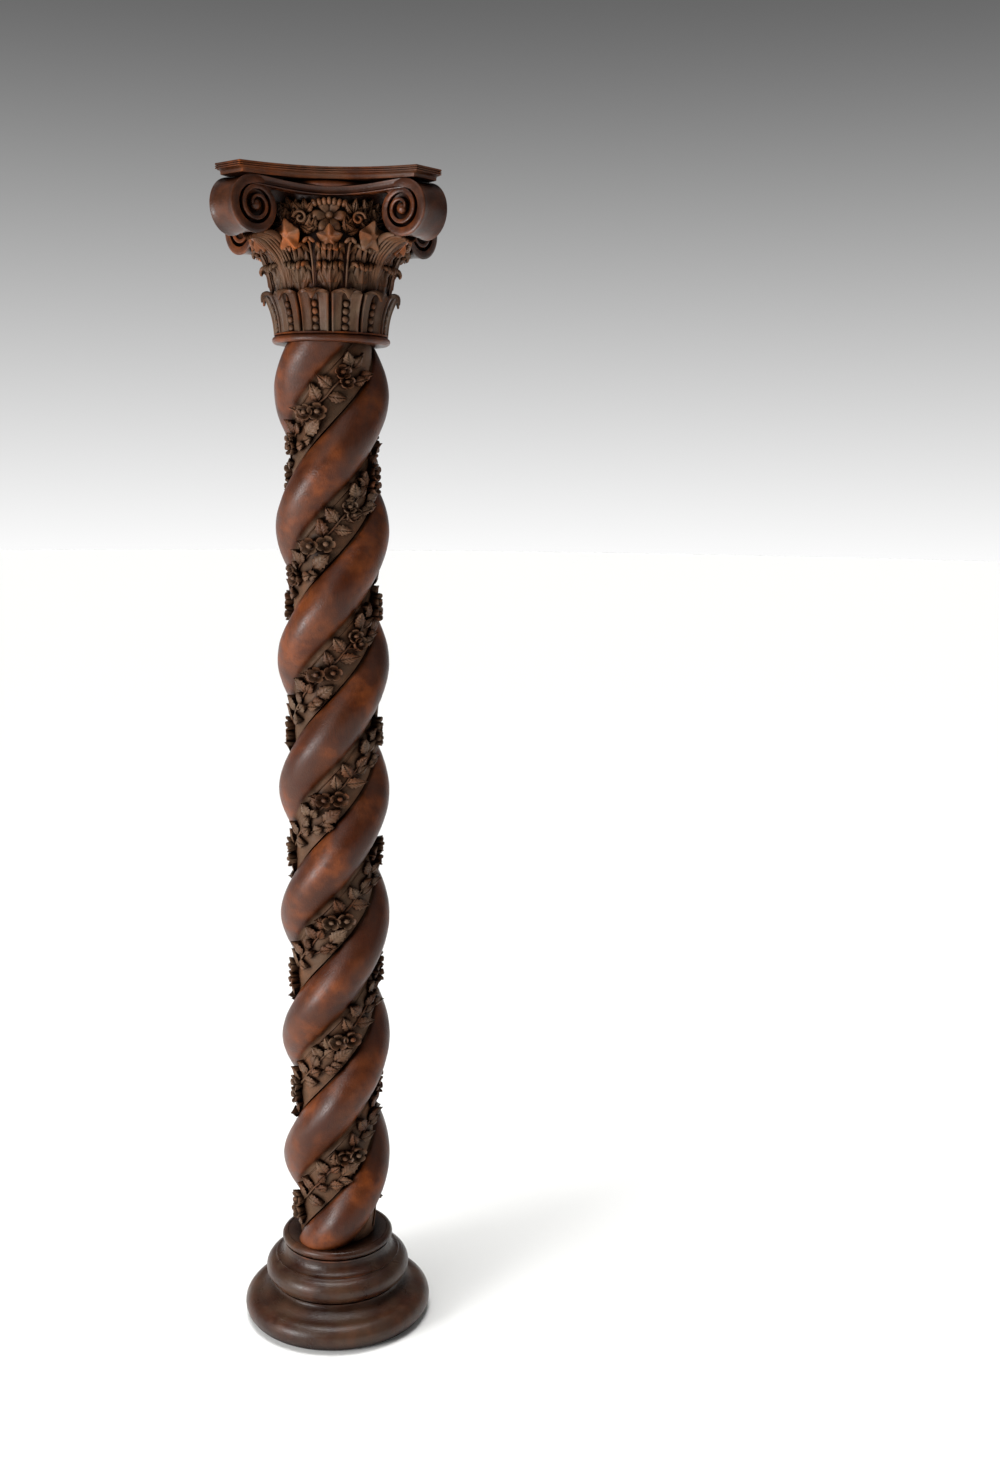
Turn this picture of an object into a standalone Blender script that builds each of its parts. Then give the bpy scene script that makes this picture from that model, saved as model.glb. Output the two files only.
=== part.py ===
"""A carved barley twist column: turned base, two-strand twisted shaft with a vine, capital and abacus.

Metres, +Z up. The origin is the centre of the base's underside, and the capital's front face looks along -Y.
"""

import math

import bmesh
import bpy
from mathutils import Matrix, Vector

# Fit between the pieces
JOINT_GAP = 0.0003

# Base, turned from one block
BASE_HEIGHT = 0.162
FOOT_RADIUS = 0.1745
FOOT_ROLL = 0.0245
WAIST_RADIUS = 0.120
COVE_DROP = 0.005
MIDDLE_ROLL_RADIUS = 0.1345
MIDDLE_ROLL = 0.0215
MIDDLE_ROLL_HEIGHT = 0.095
TOP_FILLET = 0.003
NECK_RADIUS = 0.0985
TOP_ROLL_RADIUS = 0.104
TOP_ROLL = 0.0075
SEAT_LIP = 0.0025
SEAT_INSET = 0.0053
NECK_DROP = 0.012
BASE_SEGMENTS = 20

# Shaft: two round strands wound round a core whose surface shows as the floor of two hollows
SHAFT_LENGTH = 1.636
STRAND_COUNT = 2
STRAND_REACH = 0.100
STRAND_ROUND = 0.055
STRAND_HALF_ANGLE = math.radians(47)
FLOOR_RADIUS = 0.069
FLOOR_EDGE_ANGLE = math.radians(50)
TWIST_TURNS = 3.5
TWIST_START = math.radians(63.3)
TWIST_STEP = math.radians(38)
STRAND_POINTS = 5
FLOOR_POINTS = 4
END_TAPER = 0.05
END_TAPER_LENGTH = 0.060

# Vine in the hollows: a pair of flowers at nearly every quarter turn, with leaves between the pairs
PAIR_STEP_TURN = 0.2395
FIRST_PAIR_TURN = 0.14
FLOWER_RADIUS = 0.0165
FLOWER_FACE_RADIUS = 0.0085
FLOWER_HEIGHT = 0.021
FLOWER_PETALS = 5
PAIR_SPACING = 0.028
PAIR_LEAN = math.radians(45)
LEAF_LENGTH = 0.040
LEAF_WIDTH = 0.022
LEAF_HEIGHT = 0.012
LEAF_OFFSET = 0.006
LEAF_SPREAD = math.radians(38)
LEAVES_PER_PAIR = 2
VINE_SINK = 0.007

# Capital
CAPITAL_HEIGHT = 0.2526
RING_RADIUS = 0.1015
RING_HEIGHT = 0.017
BELL_FOOT_RADIUS = 0.084
BELL_LIP_RADIUS = 0.122
BELL_NECK_RADIUS = 0.114
BELL_LIP_HEIGHT = 0.030
BELL_FLARE = 1.35
BELL_SEGMENTS = 20
PETAL_COUNT = 12
PETAL_HEIGHT = 0.065
PETAL_FOOT_RADIUS = 0.093
PETAL_REACH = 0.121
TONGUE_ROOT = 0.006
LEAF_ROW_HEIGHT = 0.082
LEAF_FOOT_RADIUS = 0.103
LEAF_ROW_REACH = 0.137
LEAF_WIDTH_SHARE = 0.80
LEAF_STEP_BACK = 0.007
LEAF_TIERS = 2
CORNER_LEAF_REACH = 0.186
CORNER_LEAF_WIDTH = 0.052
VOLUTE_REACH = 0.244
VOLUTE_RADIUS = 0.0473
VOLUTE_EYE = 0.010
VOLUTE_STEPS_PER_TURN = 8
VOLUTE_STEPS = 12
VOLUTE_CLOSING = 1.7
VOLUTE_RIDGE_SHARE = 0.27
VOLUTE_EDGE_WIDTH = 0.058
VOLUTE_SPLAY = math.radians(12)
VOLUTE_FACE_DEPTH = 0.011
BAND_MIDDLE = 0.130
BAND_THICKNESS = 0.026
BAND_DROP = 0.010
BAND_SINK = 0.002
BAND_LAP = 0.005
BAND_WIDTH = 0.018
BAND_STEPS = 4
ROSETTE_RADIUS = 0.030
ROSETTE_FACE_RADIUS = 0.015
ROSETTE_DEPTH = 0.022
ROSETTE_SINK = 0.0055
CORNERS = 4

# Stations up a petal or leaf: share of its height, share of its lean, share of its width, ridge in metres
PETAL_STATIONS = (
    (-0.05, 0.00, 0.90, -0.001),
    (0.60, 0.42, 0.93, -0.003),
    (0.90, 1.00, 0.80, -0.002),
    (1.00, 0.95, 0.36, 0.0),
)
CORNER_LEAF_STATIONS = (
    (-0.12, 0.00, 0.55, 0.002),
    (0.50, 0.30, 0.90, 0.004),
    (0.90, 0.80, 1.00, 0.004),
    (1.05, 1.00, 0.55, 0.0),
)
TIER_FOOT = -0.08
TIER_TIP_WIDTH = 0.5
TIER_RIDGE = 0.003

# Abacus: a board with hollowed sides and cut corners
ABACUS_THICKNESS = 0.0185
ABACUS_CORNER = 0.182
ABACUS_CORNER_INNER = 0.140
ABACUS_MIDDLE = 0.142
ABACUS_FILLET = 0.011
ABACUS_INSET = 0.008
ABACUS_QUIRK = 0.003
ABACUS_SIDE_STEPS = 6

# Places along the axis that follow from the sizes above
SHAFT_FOOT = BASE_HEIGHT + JOINT_GAP
SHAFT_TOP = SHAFT_FOOT + SHAFT_LENGTH
CAPITAL_FOOT = SHAFT_TOP + JOINT_GAP
CAPITAL_TOP = CAPITAL_FOOT + CAPITAL_HEIGHT
ABACUS_FOOT = CAPITAL_TOP + JOINT_GAP
TWIST_PITCH = SHAFT_LENGTH / TWIST_TURNS
STRAND_CENTRE = STRAND_REACH - STRAND_ROUND
TURN_LENGTH = math.hypot(2 * math.pi * FLOOR_RADIUS, TWIST_PITCH)
CLIMB = math.atan2(TWIST_PITCH, 2 * math.pi * FLOOR_RADIUS)
PETAL_FOOT = CAPITAL_FOOT + RING_HEIGHT
PETAL_TOP = PETAL_FOOT + PETAL_HEIGHT
LEAF_ROW_TOP = PETAL_TOP + LEAF_ROW_HEIGHT
EYE_HEIGHT = CAPITAL_TOP - VOLUTE_RADIUS
EYE_REACH = VOLUTE_REACH - VOLUTE_RADIUS

MERGE = 0.00005
SMOOTH_ANGLE = math.radians(35)


def clear_scene():
    """Removes every object, so that the script starts from nothing."""
    for found in list(bpy.data.objects):
        bpy.data.objects.remove(found, do_unlink=True)


def make_collection(name):
    """A new collection in the scene."""
    made = bpy.data.collections.new(name)
    bpy.context.scene.collection.children.link(made)
    return made


def make_wood(name, colour, roughness):
    """A Principled material for one piece of stained timber."""
    wood = bpy.data.materials.new(name)
    wood.use_nodes = True
    shader = wood.node_tree.nodes["Principled BSDF"]
    shader.inputs["Base Color"].default_value = (*colour, 1.0)
    shader.inputs["Roughness"].default_value = roughness
    shader.inputs["Metallic"].default_value = 0.0
    return wood


def make_object(name, shape, collection, wood=None):
    """An object from a finished bmesh, in a collection."""
    shape.normal_update()
    mesh = bpy.data.meshes.new(name)
    shape.to_mesh(mesh)
    shape.free()
    made = bpy.data.objects.new(name, mesh)
    collection.objects.link(made)
    if wood:
        mesh.materials.append(wood)
    return made


def arc(centre_x, centre_z, radius, start_deg, end_deg, steps):
    """Points (x, z) along an arc, both ends included."""
    angles = [math.radians(start_deg + (end_deg - start_deg) * i / steps) for i in range(steps + 1)]
    return [(centre_x + radius * math.cos(a), centre_z + radius * math.sin(a)) for a in angles]


def turn_profile(name, profile, segments, collection, wood):
    """A turned solid: its profile (radius, height) runs down the outside, from axis to axis."""
    shape = bmesh.new()
    rail = [shape.verts.new((radius, 0.0, height)) for radius, height in profile]
    for upper, lower in zip(rail[:-1], rail[1:]):
        shape.edges.new((upper, lower))
    turned = make_object(name, shape, collection, wood)
    screw = turned.modifiers.new("turn", "SCREW")
    screw.axis = "Z"
    screw.angle = 2 * math.pi
    screw.steps = segments
    screw.render_steps = segments
    screw.use_merge_vertices = True
    screw.merge_threshold = MERGE
    return turned


def loft(rows):
    """A closed shape through rows of points, with a cap on the first and on the last."""
    shape = bmesh.new()
    rings = [[shape.verts.new(point) for point in row] for row in rows]
    for first, second in zip(rings[:-1], rings[1:]):
        for i in range(len(first)):
            j = (i + 1) % len(first)
            shape.faces.new((first[i], first[j], second[j], second[i]))
    shape.faces.new(rings[0][::-1])
    shape.faces.new(rings[-1])
    bmesh.ops.recalc_face_normals(shape, faces=shape.faces)
    bmesh.ops.triangulate(shape, faces=shape.faces)
    return shape


def add_tool(name, shape, collection):
    """Keeps a shape as a hidden object that is joined to a piece."""
    tool = make_object(name, shape, collection)
    tool.hide_render = True
    tool.display_type = "WIRE"


def union_with(core, carvings):
    """Joins every object of a collection to the core."""
    join = core.modifiers.new("carving", "BOOLEAN")
    join.operation = "UNION"
    join.solver = "EXACT"
    join.operand_type = "COLLECTION"
    join.collection = carvings


def shade(piece):
    """Smooth shading that keeps the arrises crisp."""
    piece.data.shade_smooth()
    piece.data.set_sharp_from_angle(angle=SMOOTH_ANGLE)


def base_profile():
    """Top roll, neck, middle roll, cove and foot roll, from the seat down to the underside."""
    middle_centre = MIDDLE_ROLL_RADIUS - MIDDLE_ROLL
    top_centre = TOP_ROLL_RADIUS - TOP_ROLL
    top_roll_height = BASE_HEIGHT - SEAT_LIP - TOP_ROLL
    middle_top = MIDDLE_ROLL_HEIGHT + MIDDLE_ROLL
    cove_top = MIDDLE_ROLL_HEIGHT - MIDDLE_ROLL
    seat_radius = TOP_ROLL_RADIUS - SEAT_INSET
    profile = [(0.0, BASE_HEIGHT), (seat_radius, BASE_HEIGHT), (seat_radius, BASE_HEIGHT - SEAT_LIP)]
    profile += arc(top_centre, top_roll_height, TOP_ROLL, 55, -75, 2)
    profile += [(NECK_RADIUS, top_roll_height - NECK_DROP)]
    hollow = middle_centre - NECK_RADIUS
    profile += arc(middle_centre, middle_top + hollow + TOP_FILLET, hollow, 180, 270, 2)
    profile += arc(middle_centre, MIDDLE_ROLL_HEIGHT, MIDDLE_ROLL, 88, -72, 4)
    profile += [(WAIST_RADIUS, cove_top - COVE_DROP)]
    foot_centre = FOOT_RADIUS - FOOT_ROLL
    profile += arc(foot_centre, cove_top - COVE_DROP, foot_centre - WAIST_RADIUS, 185, 235, 2)
    profile += arc(foot_centre, FOOT_ROLL, FOOT_ROLL, 85, -90, 5)
    profile += [(0.0, 0.0)]
    return profile


def build_base(collection, wood):
    """The turned base."""
    base = turn_profile("turned_base", base_profile(), BASE_SEGMENTS, collection, wood)
    shade(base)
    return base


def strand_radius(angle):
    """Distance from the axis to the strand's surface, at an angle from the strand's crest."""
    across = STRAND_CENTRE * math.sin(angle)
    return STRAND_CENTRE * math.cos(angle) + math.sqrt(STRAND_ROUND**2 - across**2)


def shaft_section():
    """The shaft's outline across the axis: for each strand its round, then the floor of the hollow after it."""
    points = []
    share = 2 * math.pi / STRAND_COUNT
    for strand in range(STRAND_COUNT):
        crest = TWIST_START + strand * share
        for i in range(STRAND_POINTS):
            angle = STRAND_HALF_ANGLE * (2 * i / (STRAND_POINTS - 1) - 1)
            points.append((strand_radius(angle), crest + angle))
        for i in range(FLOOR_POINTS):
            angle = FLOOR_EDGE_ANGLE + (share - 2 * FLOOR_EDGE_ANGLE) * i / (FLOOR_POINTS - 1)
            points.append((FLOOR_RADIUS, crest + angle))
    return [(radius * math.cos(angle), radius * math.sin(angle)) for radius, angle in points]


def taper_ends(shape):
    """Draws the strands in a little where the shaft meets the base."""
    for vert in shape.verts:
        rise = vert.co.z - SHAFT_FOOT
        reach = math.hypot(vert.co.x, vert.co.y)
        if rise < END_TAPER_LENGTH and reach > FLOOR_RADIUS:
            lost = END_TAPER * (1 - rise / END_TAPER_LENGTH) ** 2
            vert.co.x *= 1 - lost
            vert.co.y *= 1 - lost


def twisted_core():
    """The shaft without its vine: the section drawn up the axis while it turns."""
    shape = bmesh.new()
    outline = [shape.verts.new((x, y, SHAFT_FOOT)) for x, y in shaft_section()]
    foot = shape.faces.new(outline)
    steps = round(2 * math.pi * TWIST_TURNS / TWIST_STEP)
    bmesh.ops.spin(
        shape,
        geom=[foot, *foot.edges, *foot.verts],
        cent=(0, 0, 0),
        axis=(0, 0, 1),
        dvec=(0, 0, SHAFT_LENGTH / steps),
        angle=2 * math.pi * TWIST_TURNS,
        steps=steps,
        use_duplicate=False,
    )
    bmesh.ops.recalc_face_normals(shape, faces=shape.faces)
    taper_ends(shape)
    bmesh.ops.triangulate(shape, faces=shape.faces, quad_method="SHORT_EDGE")
    return shape


def hollow_place(hollow, turns, across, lift):
    """A point in a hollow: so many turns up its middle line, across it, and above its floor."""
    along = turns * TURN_LENGTH
    arc_length = along * math.cos(CLIMB) - across * math.sin(CLIMB)
    start = TWIST_START + (hollow + 0.5) * 2 * math.pi / STRAND_COUNT
    angle = start + arc_length / FLOOR_RADIUS
    height = SHAFT_FOOT + along * math.sin(CLIMB) + across * math.cos(CLIMB)
    reach = FLOOR_RADIUS + lift
    return Vector((reach * math.cos(angle), reach * math.sin(angle), height))


def lay_in_hollow(shape, hollow, turns, across, turn):
    """Bends a flat shape, drawn about the origin with +Z outwards, on to a hollow's floor."""
    bmesh.ops.rotate(shape, verts=shape.verts, cent=(0, 0, 0), matrix=Matrix.Rotation(turn, 3, "Z"))
    for vert in shape.verts:
        flat = vert.co.copy()
        vert.co = hollow_place(hollow, turns + flat.x / TURN_LENGTH, across + flat.y, flat.z)
    bmesh.ops.recalc_face_normals(shape, faces=shape.faces)
    bmesh.ops.triangulate(shape, faces=shape.faces)
    return shape


def flower_shape():
    """A blunt five-sided boss, one side for each petal."""
    shape = bmesh.new()
    bmesh.ops.create_cone(
        shape,
        cap_ends=True,
        segments=FLOWER_PETALS,
        radius1=FLOWER_RADIUS,
        radius2=FLOWER_FACE_RADIUS,
        depth=FLOWER_HEIGHT + VINE_SINK,
    )
    bmesh.ops.translate(shape, verts=shape.verts, vec=(0, 0, (FLOWER_HEIGHT - VINE_SINK) / 2))
    return shape


def leaf_shape():
    """A ridged pointed leaf, its stalk at the origin and its point along +X."""
    shape = bmesh.new()
    depth = LEAF_HEIGHT + VINE_SINK
    bmesh.ops.create_cone(shape, cap_ends=True, segments=4, radius1=1.0, radius2=0.0, depth=depth)
    spread = depth / LEAF_HEIGHT
    bmesh.ops.scale(shape, verts=shape.verts, vec=(spread * LEAF_LENGTH / 2, spread * LEAF_WIDTH / 2, 1.0))
    lift = (LEAF_HEIGHT - VINE_SINK) / 2
    bmesh.ops.translate(shape, verts=shape.verts, vec=(LEAF_LENGTH / 2, 0, lift))
    return shape


def add_flower_pair(collection, hollow, turns, lean):
    """Two flowers side by side on a slant across the hollow."""
    for side in (-1, 1):
        along = side * PAIR_SPACING / 2 * math.cos(lean) / TURN_LENGTH
        across = side * PAIR_SPACING / 2 * math.sin(lean)
        shape = lay_in_hollow(flower_shape(), hollow, turns + along, across, lean)
        add_tool("flower_tool", shape, collection)


def add_leaves(collection, hollow, turns, first_side):
    """The leaves between one pair of flowers and the next, to the left and right in turn."""
    for leaf in range(LEAVES_PER_PAIR):
        place = turns + (leaf + 1) / (LEAVES_PER_PAIR + 1) * PAIR_STEP_TURN
        if place * TWIST_PITCH + LEAF_OFFSET + LEAF_LENGTH > SHAFT_LENGTH:
            return
        side = first_side if leaf % 2 else -first_side
        shape = lay_in_hollow(leaf_shape(), hollow, place, side * LEAF_OFFSET, side * LEAF_SPREAD)
        add_tool("vine_leaf_tool", shape, collection)


def build_vine(collection):
    """The flowers and leaves that stand out of the two hollows."""
    room = TWIST_TURNS - FIRST_PAIR_TURN - (PAIR_SPACING / 2 + FLOWER_RADIUS) / TURN_LENGTH
    pair_count = math.floor(room / PAIR_STEP_TURN) + 1
    for hollow in range(STRAND_COUNT):
        for pair in range(pair_count):
            side = 1 if pair % 2 else -1
            turns = FIRST_PAIR_TURN + pair * PAIR_STEP_TURN
            add_flower_pair(collection, hollow, turns, side * PAIR_LEAN)
            add_leaves(collection, hollow, turns, side)


def build_shaft(collection, tools, wood):
    """The twisted shaft with its vine, carved from one timber."""
    shaft = make_object("twisted_shaft", twisted_core(), collection, wood)
    build_vine(tools)
    union_with(shaft, tools)
    shade(shaft)
    return shaft


def bell_radius(height):
    """The bell's radius at a height between its foot and its lip."""
    foot, top = PETAL_FOOT, CAPITAL_TOP - BELL_LIP_HEIGHT
    share = min(1.0, max(0.0, (height - foot) / (top - foot)))
    return BELL_FOOT_RADIUS + (BELL_NECK_RADIUS - BELL_FOOT_RADIUS) * share**BELL_FLARE


def bell_profile():
    """Neck ring and flaring bell, from the top's centre down to the foot's centre."""
    roll = RING_HEIGHT / 2
    profile = [(0.0, CAPITAL_TOP), (BELL_LIP_RADIUS, CAPITAL_TOP)]
    profile += [(bell_radius(height), height) for height in (CAPITAL_TOP - BELL_LIP_HEIGHT, PETAL_FOOT)]
    profile += arc(RING_RADIUS - roll, CAPITAL_FOOT + roll, roll, 80, -90, 3)
    profile += [(0.0, CAPITAL_FOOT)]
    return profile


def tongue_shape(stations, angle):
    """A leaf that stands on the bell, through stations of (reach, height, half width, ridge)."""
    outward = Vector((math.cos(angle), math.sin(angle), 0))
    sideways = Vector((-math.sin(angle), math.cos(angle), 0))
    rows = []
    for reach, height, half, ridge in stations:
        level = Vector((0, 0, height))
        root = min(reach, bell_radius(height)) - TONGUE_ROOT
        edge = reach - half * half / (2 * reach)
        rows.append(
            [
                level + outward * edge - sideways * half,
                level + outward * (reach + ridge),
                level + outward * edge + sideways * half,
                level + outward * root,
            ]
        )
    return loft(rows)


def stations_up(table, foot, height, low, high, half_widths):
    """Turns a table of shares into stations of (reach, height, half width, ridge)."""
    stations = []
    for (rise, lean, width, ridge), half in zip(table, half_widths):
        stations.append((low + (high - low) * lean, foot + height * rise, half * width, ridge))
    return stations


def add_petals(tools):
    """The lowest row: broad hollowed petals whose rounded lips lean out."""
    share = math.pi / PETAL_COUNT
    low, high = PETAL_FOOT_RADIUS, PETAL_REACH
    halves = [(low + (high - low) * lean) * share for _, lean, _, _ in PETAL_STATIONS]
    stations = stations_up(PETAL_STATIONS, PETAL_FOOT, PETAL_HEIGHT, low, high, halves)
    for i in range(PETAL_COUNT):
        angle = (2 * i + 1) * share
        add_tool("petal_tool", tongue_shape(stations, angle), tools)


def add_leaf_row(tools):
    """The upper row: narrow leaves all round, each in tiers that step out."""
    share = math.pi / PETAL_COUNT
    low = LEAF_FOOT_RADIUS
    stations = [(low, PETAL_TOP + LEAF_ROW_HEIGHT * TIER_FOOT, low * share * LEAF_WIDTH_SHARE, 0.0)]
    for tier in range(1, LEAF_TIERS + 1):
        top = PETAL_TOP + LEAF_ROW_HEIGHT * tier / LEAF_TIERS
        reach = low + (LEAF_ROW_REACH - low) * tier / LEAF_TIERS
        half = reach * share * LEAF_WIDTH_SHARE
        stations.append((reach, top - LEAF_STEP_BACK, half, TIER_RIDGE))
        stations.append((reach - LEAF_STEP_BACK, top, half * TIER_TIP_WIDTH, 0.0))
    for i in range(PETAL_COUNT):
        add_tool("leaf_tool", tongue_shape(stations, 2 * i * share), tools)


def add_corner_leaves(tools):
    """A wide leaf under each scroll that sweeps out to carry it."""
    halves = [CORNER_LEAF_WIDTH / 2] * len(CORNER_LEAF_STATIONS)
    low, high = LEAF_FOOT_RADIUS, CORNER_LEAF_REACH
    stations = stations_up(CORNER_LEAF_STATIONS, PETAL_TOP, LEAF_ROW_HEIGHT, low, high, halves)
    for i in range(CORNERS):
        add_tool("corner_leaf_tool", tongue_shape(stations, (2 * i + 1) * math.pi / CORNERS), tools)


def volute_radius(step):
    """The spiral's outer edge: it closes from the full radius at the top to the eye."""
    share = min(step / VOLUTE_STEPS, 1.0)
    return VOLUTE_EYE + (VOLUTE_RADIUS - VOLUTE_EYE) * (1 - share**VOLUTE_CLOSING)


def volute_half_width(reach):
    """Half the volute's thickness at a distance from the axis: its faces splay apart towards the bell."""
    return VOLUTE_EDGE_WIDTH / 2 + (VOLUTE_REACH - reach) * math.tan(VOLUTE_SPLAY)


def volute_point(shape, radius, step, side, sunk=0.0):
    """A point of a scroll that lies along +X: steps run from the top outwards, side is -1 or 1."""
    angle = 2 * math.pi * step / VOLUTE_STEPS_PER_TURN
    reach = EYE_REACH + radius * math.sin(angle)
    half = volute_half_width(reach) - sunk
    return shape.verts.new((reach, side * half, EYE_HEIGHT + radius * math.cos(angle)))


def volute_face(shape, side):
    """One face of a scroll: a spiral rim that ends in the eye, over a sunk floor."""
    turn, last = VOLUTE_STEPS_PER_TURN, VOLUTE_STEPS
    inner = [volute_radius(k) * (1 - VOLUTE_RIDGE_SHARE) for k in range(last - 1)]
    rim = [volute_point(shape, volute_radius(k), k, side) for k in range(last + 1)]
    lip = [volute_point(shape, inner[k], k, side) for k in range(last - 1)]
    drop = [volute_point(shape, inner[k], k, side, VOLUTE_FACE_DEPTH) for k in range(last - 1)]
    floor = [volute_point(shape, volute_radius(k + turn), k, side, VOLUTE_FACE_DEPTH) for k in range(last)]
    eye = [rim[last]]
    eye += [volute_point(shape, VOLUTE_EYE, k, side) for k in range(last - turn + 1, last)]
    lip.append(eye[-1])
    drop.append(floor[-1])
    for k in range(last - 1):
        shape.faces.new((rim[k], rim[k + 1], lip[k + 1], lip[k]))
        shape.faces.new((lip[k], lip[k + 1], drop[k + 1], drop[k]))
        corners = [drop[k], drop[k + 1], floor[k + 1], floor[k]]
        shape.faces.new(list(dict.fromkeys(corners)))
    shape.faces.new((rim[last - 1], rim[last], lip[last - 1]))
    for k in range(last - turn):
        shape.faces.new((floor[k], floor[k + 1], rim[k + turn + 1], rim[k + turn]))
    for k in range(turn - 1):
        low = last - turn + k
        shape.faces.new((floor[low], floor[low + 1], eye[k + 1], eye[k]))
    shape.faces.new(eye)
    return rim, lip, drop, floor


def volute_shape():
    """A scroll at a corner, its two faces joined by the strap's outer side."""
    shape = bmesh.new()
    turn = VOLUTE_STEPS_PER_TURN
    rim_a, lip_a, drop_a, floor_a = volute_face(shape, -1)
    rim_b, lip_b, drop_b, floor_b = volute_face(shape, 1)
    for k in range(turn - 1):
        shape.faces.new((rim_a[k], rim_b[k], rim_b[k + 1], rim_a[k + 1]))
    shape.faces.new((rim_a[turn - 1], rim_b[turn - 1], rim_b[turn], floor_b[0], floor_a[0], rim_a[turn]))
    shape.faces.new((rim_a[0], rim_b[0], lip_b[0], drop_b[0], floor_b[0], floor_a[0], drop_a[0], lip_a[0]))
    bmesh.ops.recalc_face_normals(shape, faces=shape.faces)
    bmesh.ops.triangulate(shape, faces=shape.faces)
    return shape


def band_shape():
    """The band on the -Y face: it runs under the abacus from scroll to scroll and sags at its middle."""
    end_reach = EYE_REACH + BAND_LAP
    half = volute_half_width(end_reach) - BAND_SINK
    end_across = (end_reach - half) / math.sqrt(2)
    end_out = (end_reach + half) / math.sqrt(2)
    rows = []
    for i in range(BAND_STEPS + 1):
        share = 2 * i / BAND_STEPS - 1
        out = BAND_MIDDLE + (end_out - BAND_MIDDLE) * share**2
        back = out - BAND_THICKNESS
        top = CAPITAL_TOP - BAND_DROP * (1 - share**2) - JOINT_GAP
        foot = top - BAND_WIDTH
        corners = ((out, top), (out, foot), (back, foot), (back, top))
        rows.append([Vector((end_across * share, -y, z)) for y, z in corners])
    return loft(rows)


def rosette_shape():
    """The flower on the middle of the -Y face, under the band."""
    shape = bmesh.new()
    bmesh.ops.create_cone(
        shape,
        cap_ends=True,
        segments=FLOWER_PETALS,
        radius1=ROSETTE_RADIUS,
        radius2=ROSETTE_FACE_RADIUS,
        depth=ROSETTE_DEPTH,
    )
    height = (LEAF_ROW_TOP + CAPITAL_TOP - BAND_DROP - BAND_WIDTH) / 2
    out = bell_radius(height) + ROSETTE_DEPTH / 2 - ROSETTE_SINK
    place = Matrix.Translation((0, -out, height))
    bmesh.ops.transform(shape, matrix=place @ Matrix.Rotation(math.pi / 2, 4, "X"), verts=shape.verts)
    bmesh.ops.triangulate(shape, faces=shape.faces)
    return shape


def add_faces_and_corners(tools):
    """A band and a rosette on each face, and a scroll at each corner."""
    for i in range(CORNERS):
        face = Matrix.Rotation(i * 2 * math.pi / CORNERS, 4, "Z")
        corner = Matrix.Rotation((i + 0.5) * 2 * math.pi / CORNERS, 4, "Z")
        for name, shape, turn in (
            ("volute_tool", volute_shape(), corner),
            ("band_tool", band_shape(), face),
            ("rosette_tool", rosette_shape(), face),
        ):
            bmesh.ops.transform(shape, matrix=turn, verts=shape.verts)
            add_tool(name, shape, tools)


def build_capital(collection, tools, wood):
    """The capital: bell, petals, leaves, scrolls, bands and rosettes, carved as one."""
    capital = turn_profile("carved_capital", bell_profile(), BELL_SEGMENTS, collection, wood)
    add_petals(tools)
    add_leaf_row(tools)
    add_corner_leaves(tools)
    add_faces_and_corners(tools)
    union_with(capital, tools)
    shade(capital)
    return capital


def abacus_row(inset, rise):
    """The board's outline at one height: four hollowed sides and four cut corners, drawn in by an inset."""
    corner, inner, middle = ABACUS_CORNER - inset, ABACUS_CORNER_INNER - inset / 2, ABACUS_MIDDLE - inset
    points = []
    for side in range(CORNERS):
        turn = Matrix.Rotation(side * 2 * math.pi / CORNERS, 3, "Z")
        for i in range(ABACUS_SIDE_STEPS + 1):
            share = 2 * i / ABACUS_SIDE_STEPS - 1
            out = middle + (corner - middle) * share**2
            points.append(turn @ Vector((inner * share, -out, ABACUS_FOOT + rise)))
    return points


def build_abacus(collection, wood):
    """The abacus: a plain fillet over a rounded under-moulding."""
    moulding = ABACUS_THICKNESS - ABACUS_FILLET
    levels = [(ABACUS_INSET, 0.0), ((ABACUS_INSET + ABACUS_QUIRK) / 2, moulding / 3), (ABACUS_QUIRK, moulding)]
    levels += [(0.0, moulding), (0.0, ABACUS_THICKNESS)]
    shape = loft([abacus_row(inset, rise) for inset, rise in levels])
    abacus = make_object("abacus", shape, collection, wood)
    shade(abacus)
    return abacus


def main():
    """Builds the column's four pieces."""
    clear_scene()
    column = make_collection("barley_twist_column")
    vine_tools = make_collection("vine_tools")
    capital_tools = make_collection("capital_tools")
    build_base(column, make_wood("stained_walnut_base", (0.075, 0.038, 0.024), 0.42))
    build_shaft(column, vine_tools, make_wood("stained_walnut_shaft", (0.090, 0.042, 0.024), 0.40))
    build_capital(column, capital_tools, make_wood("stained_walnut_capital", (0.085, 0.042, 0.026), 0.45))
    build_abacus(column, make_wood("stained_walnut_abacus", (0.095, 0.045, 0.026), 0.42))


main()
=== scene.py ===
"""Looks of a carved barley twist column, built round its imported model.

Metres, +Z up. The origin is the centre of the base's underside, and the capital's front face looks along -Y.
Each surface is a grid of points that numpy works out from two parameters.
"""

import logging
import math
from dataclasses import dataclass, field
from enum import Enum
from typing import Callable

import bpy
import numpy as np
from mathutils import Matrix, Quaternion, Vector


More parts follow.
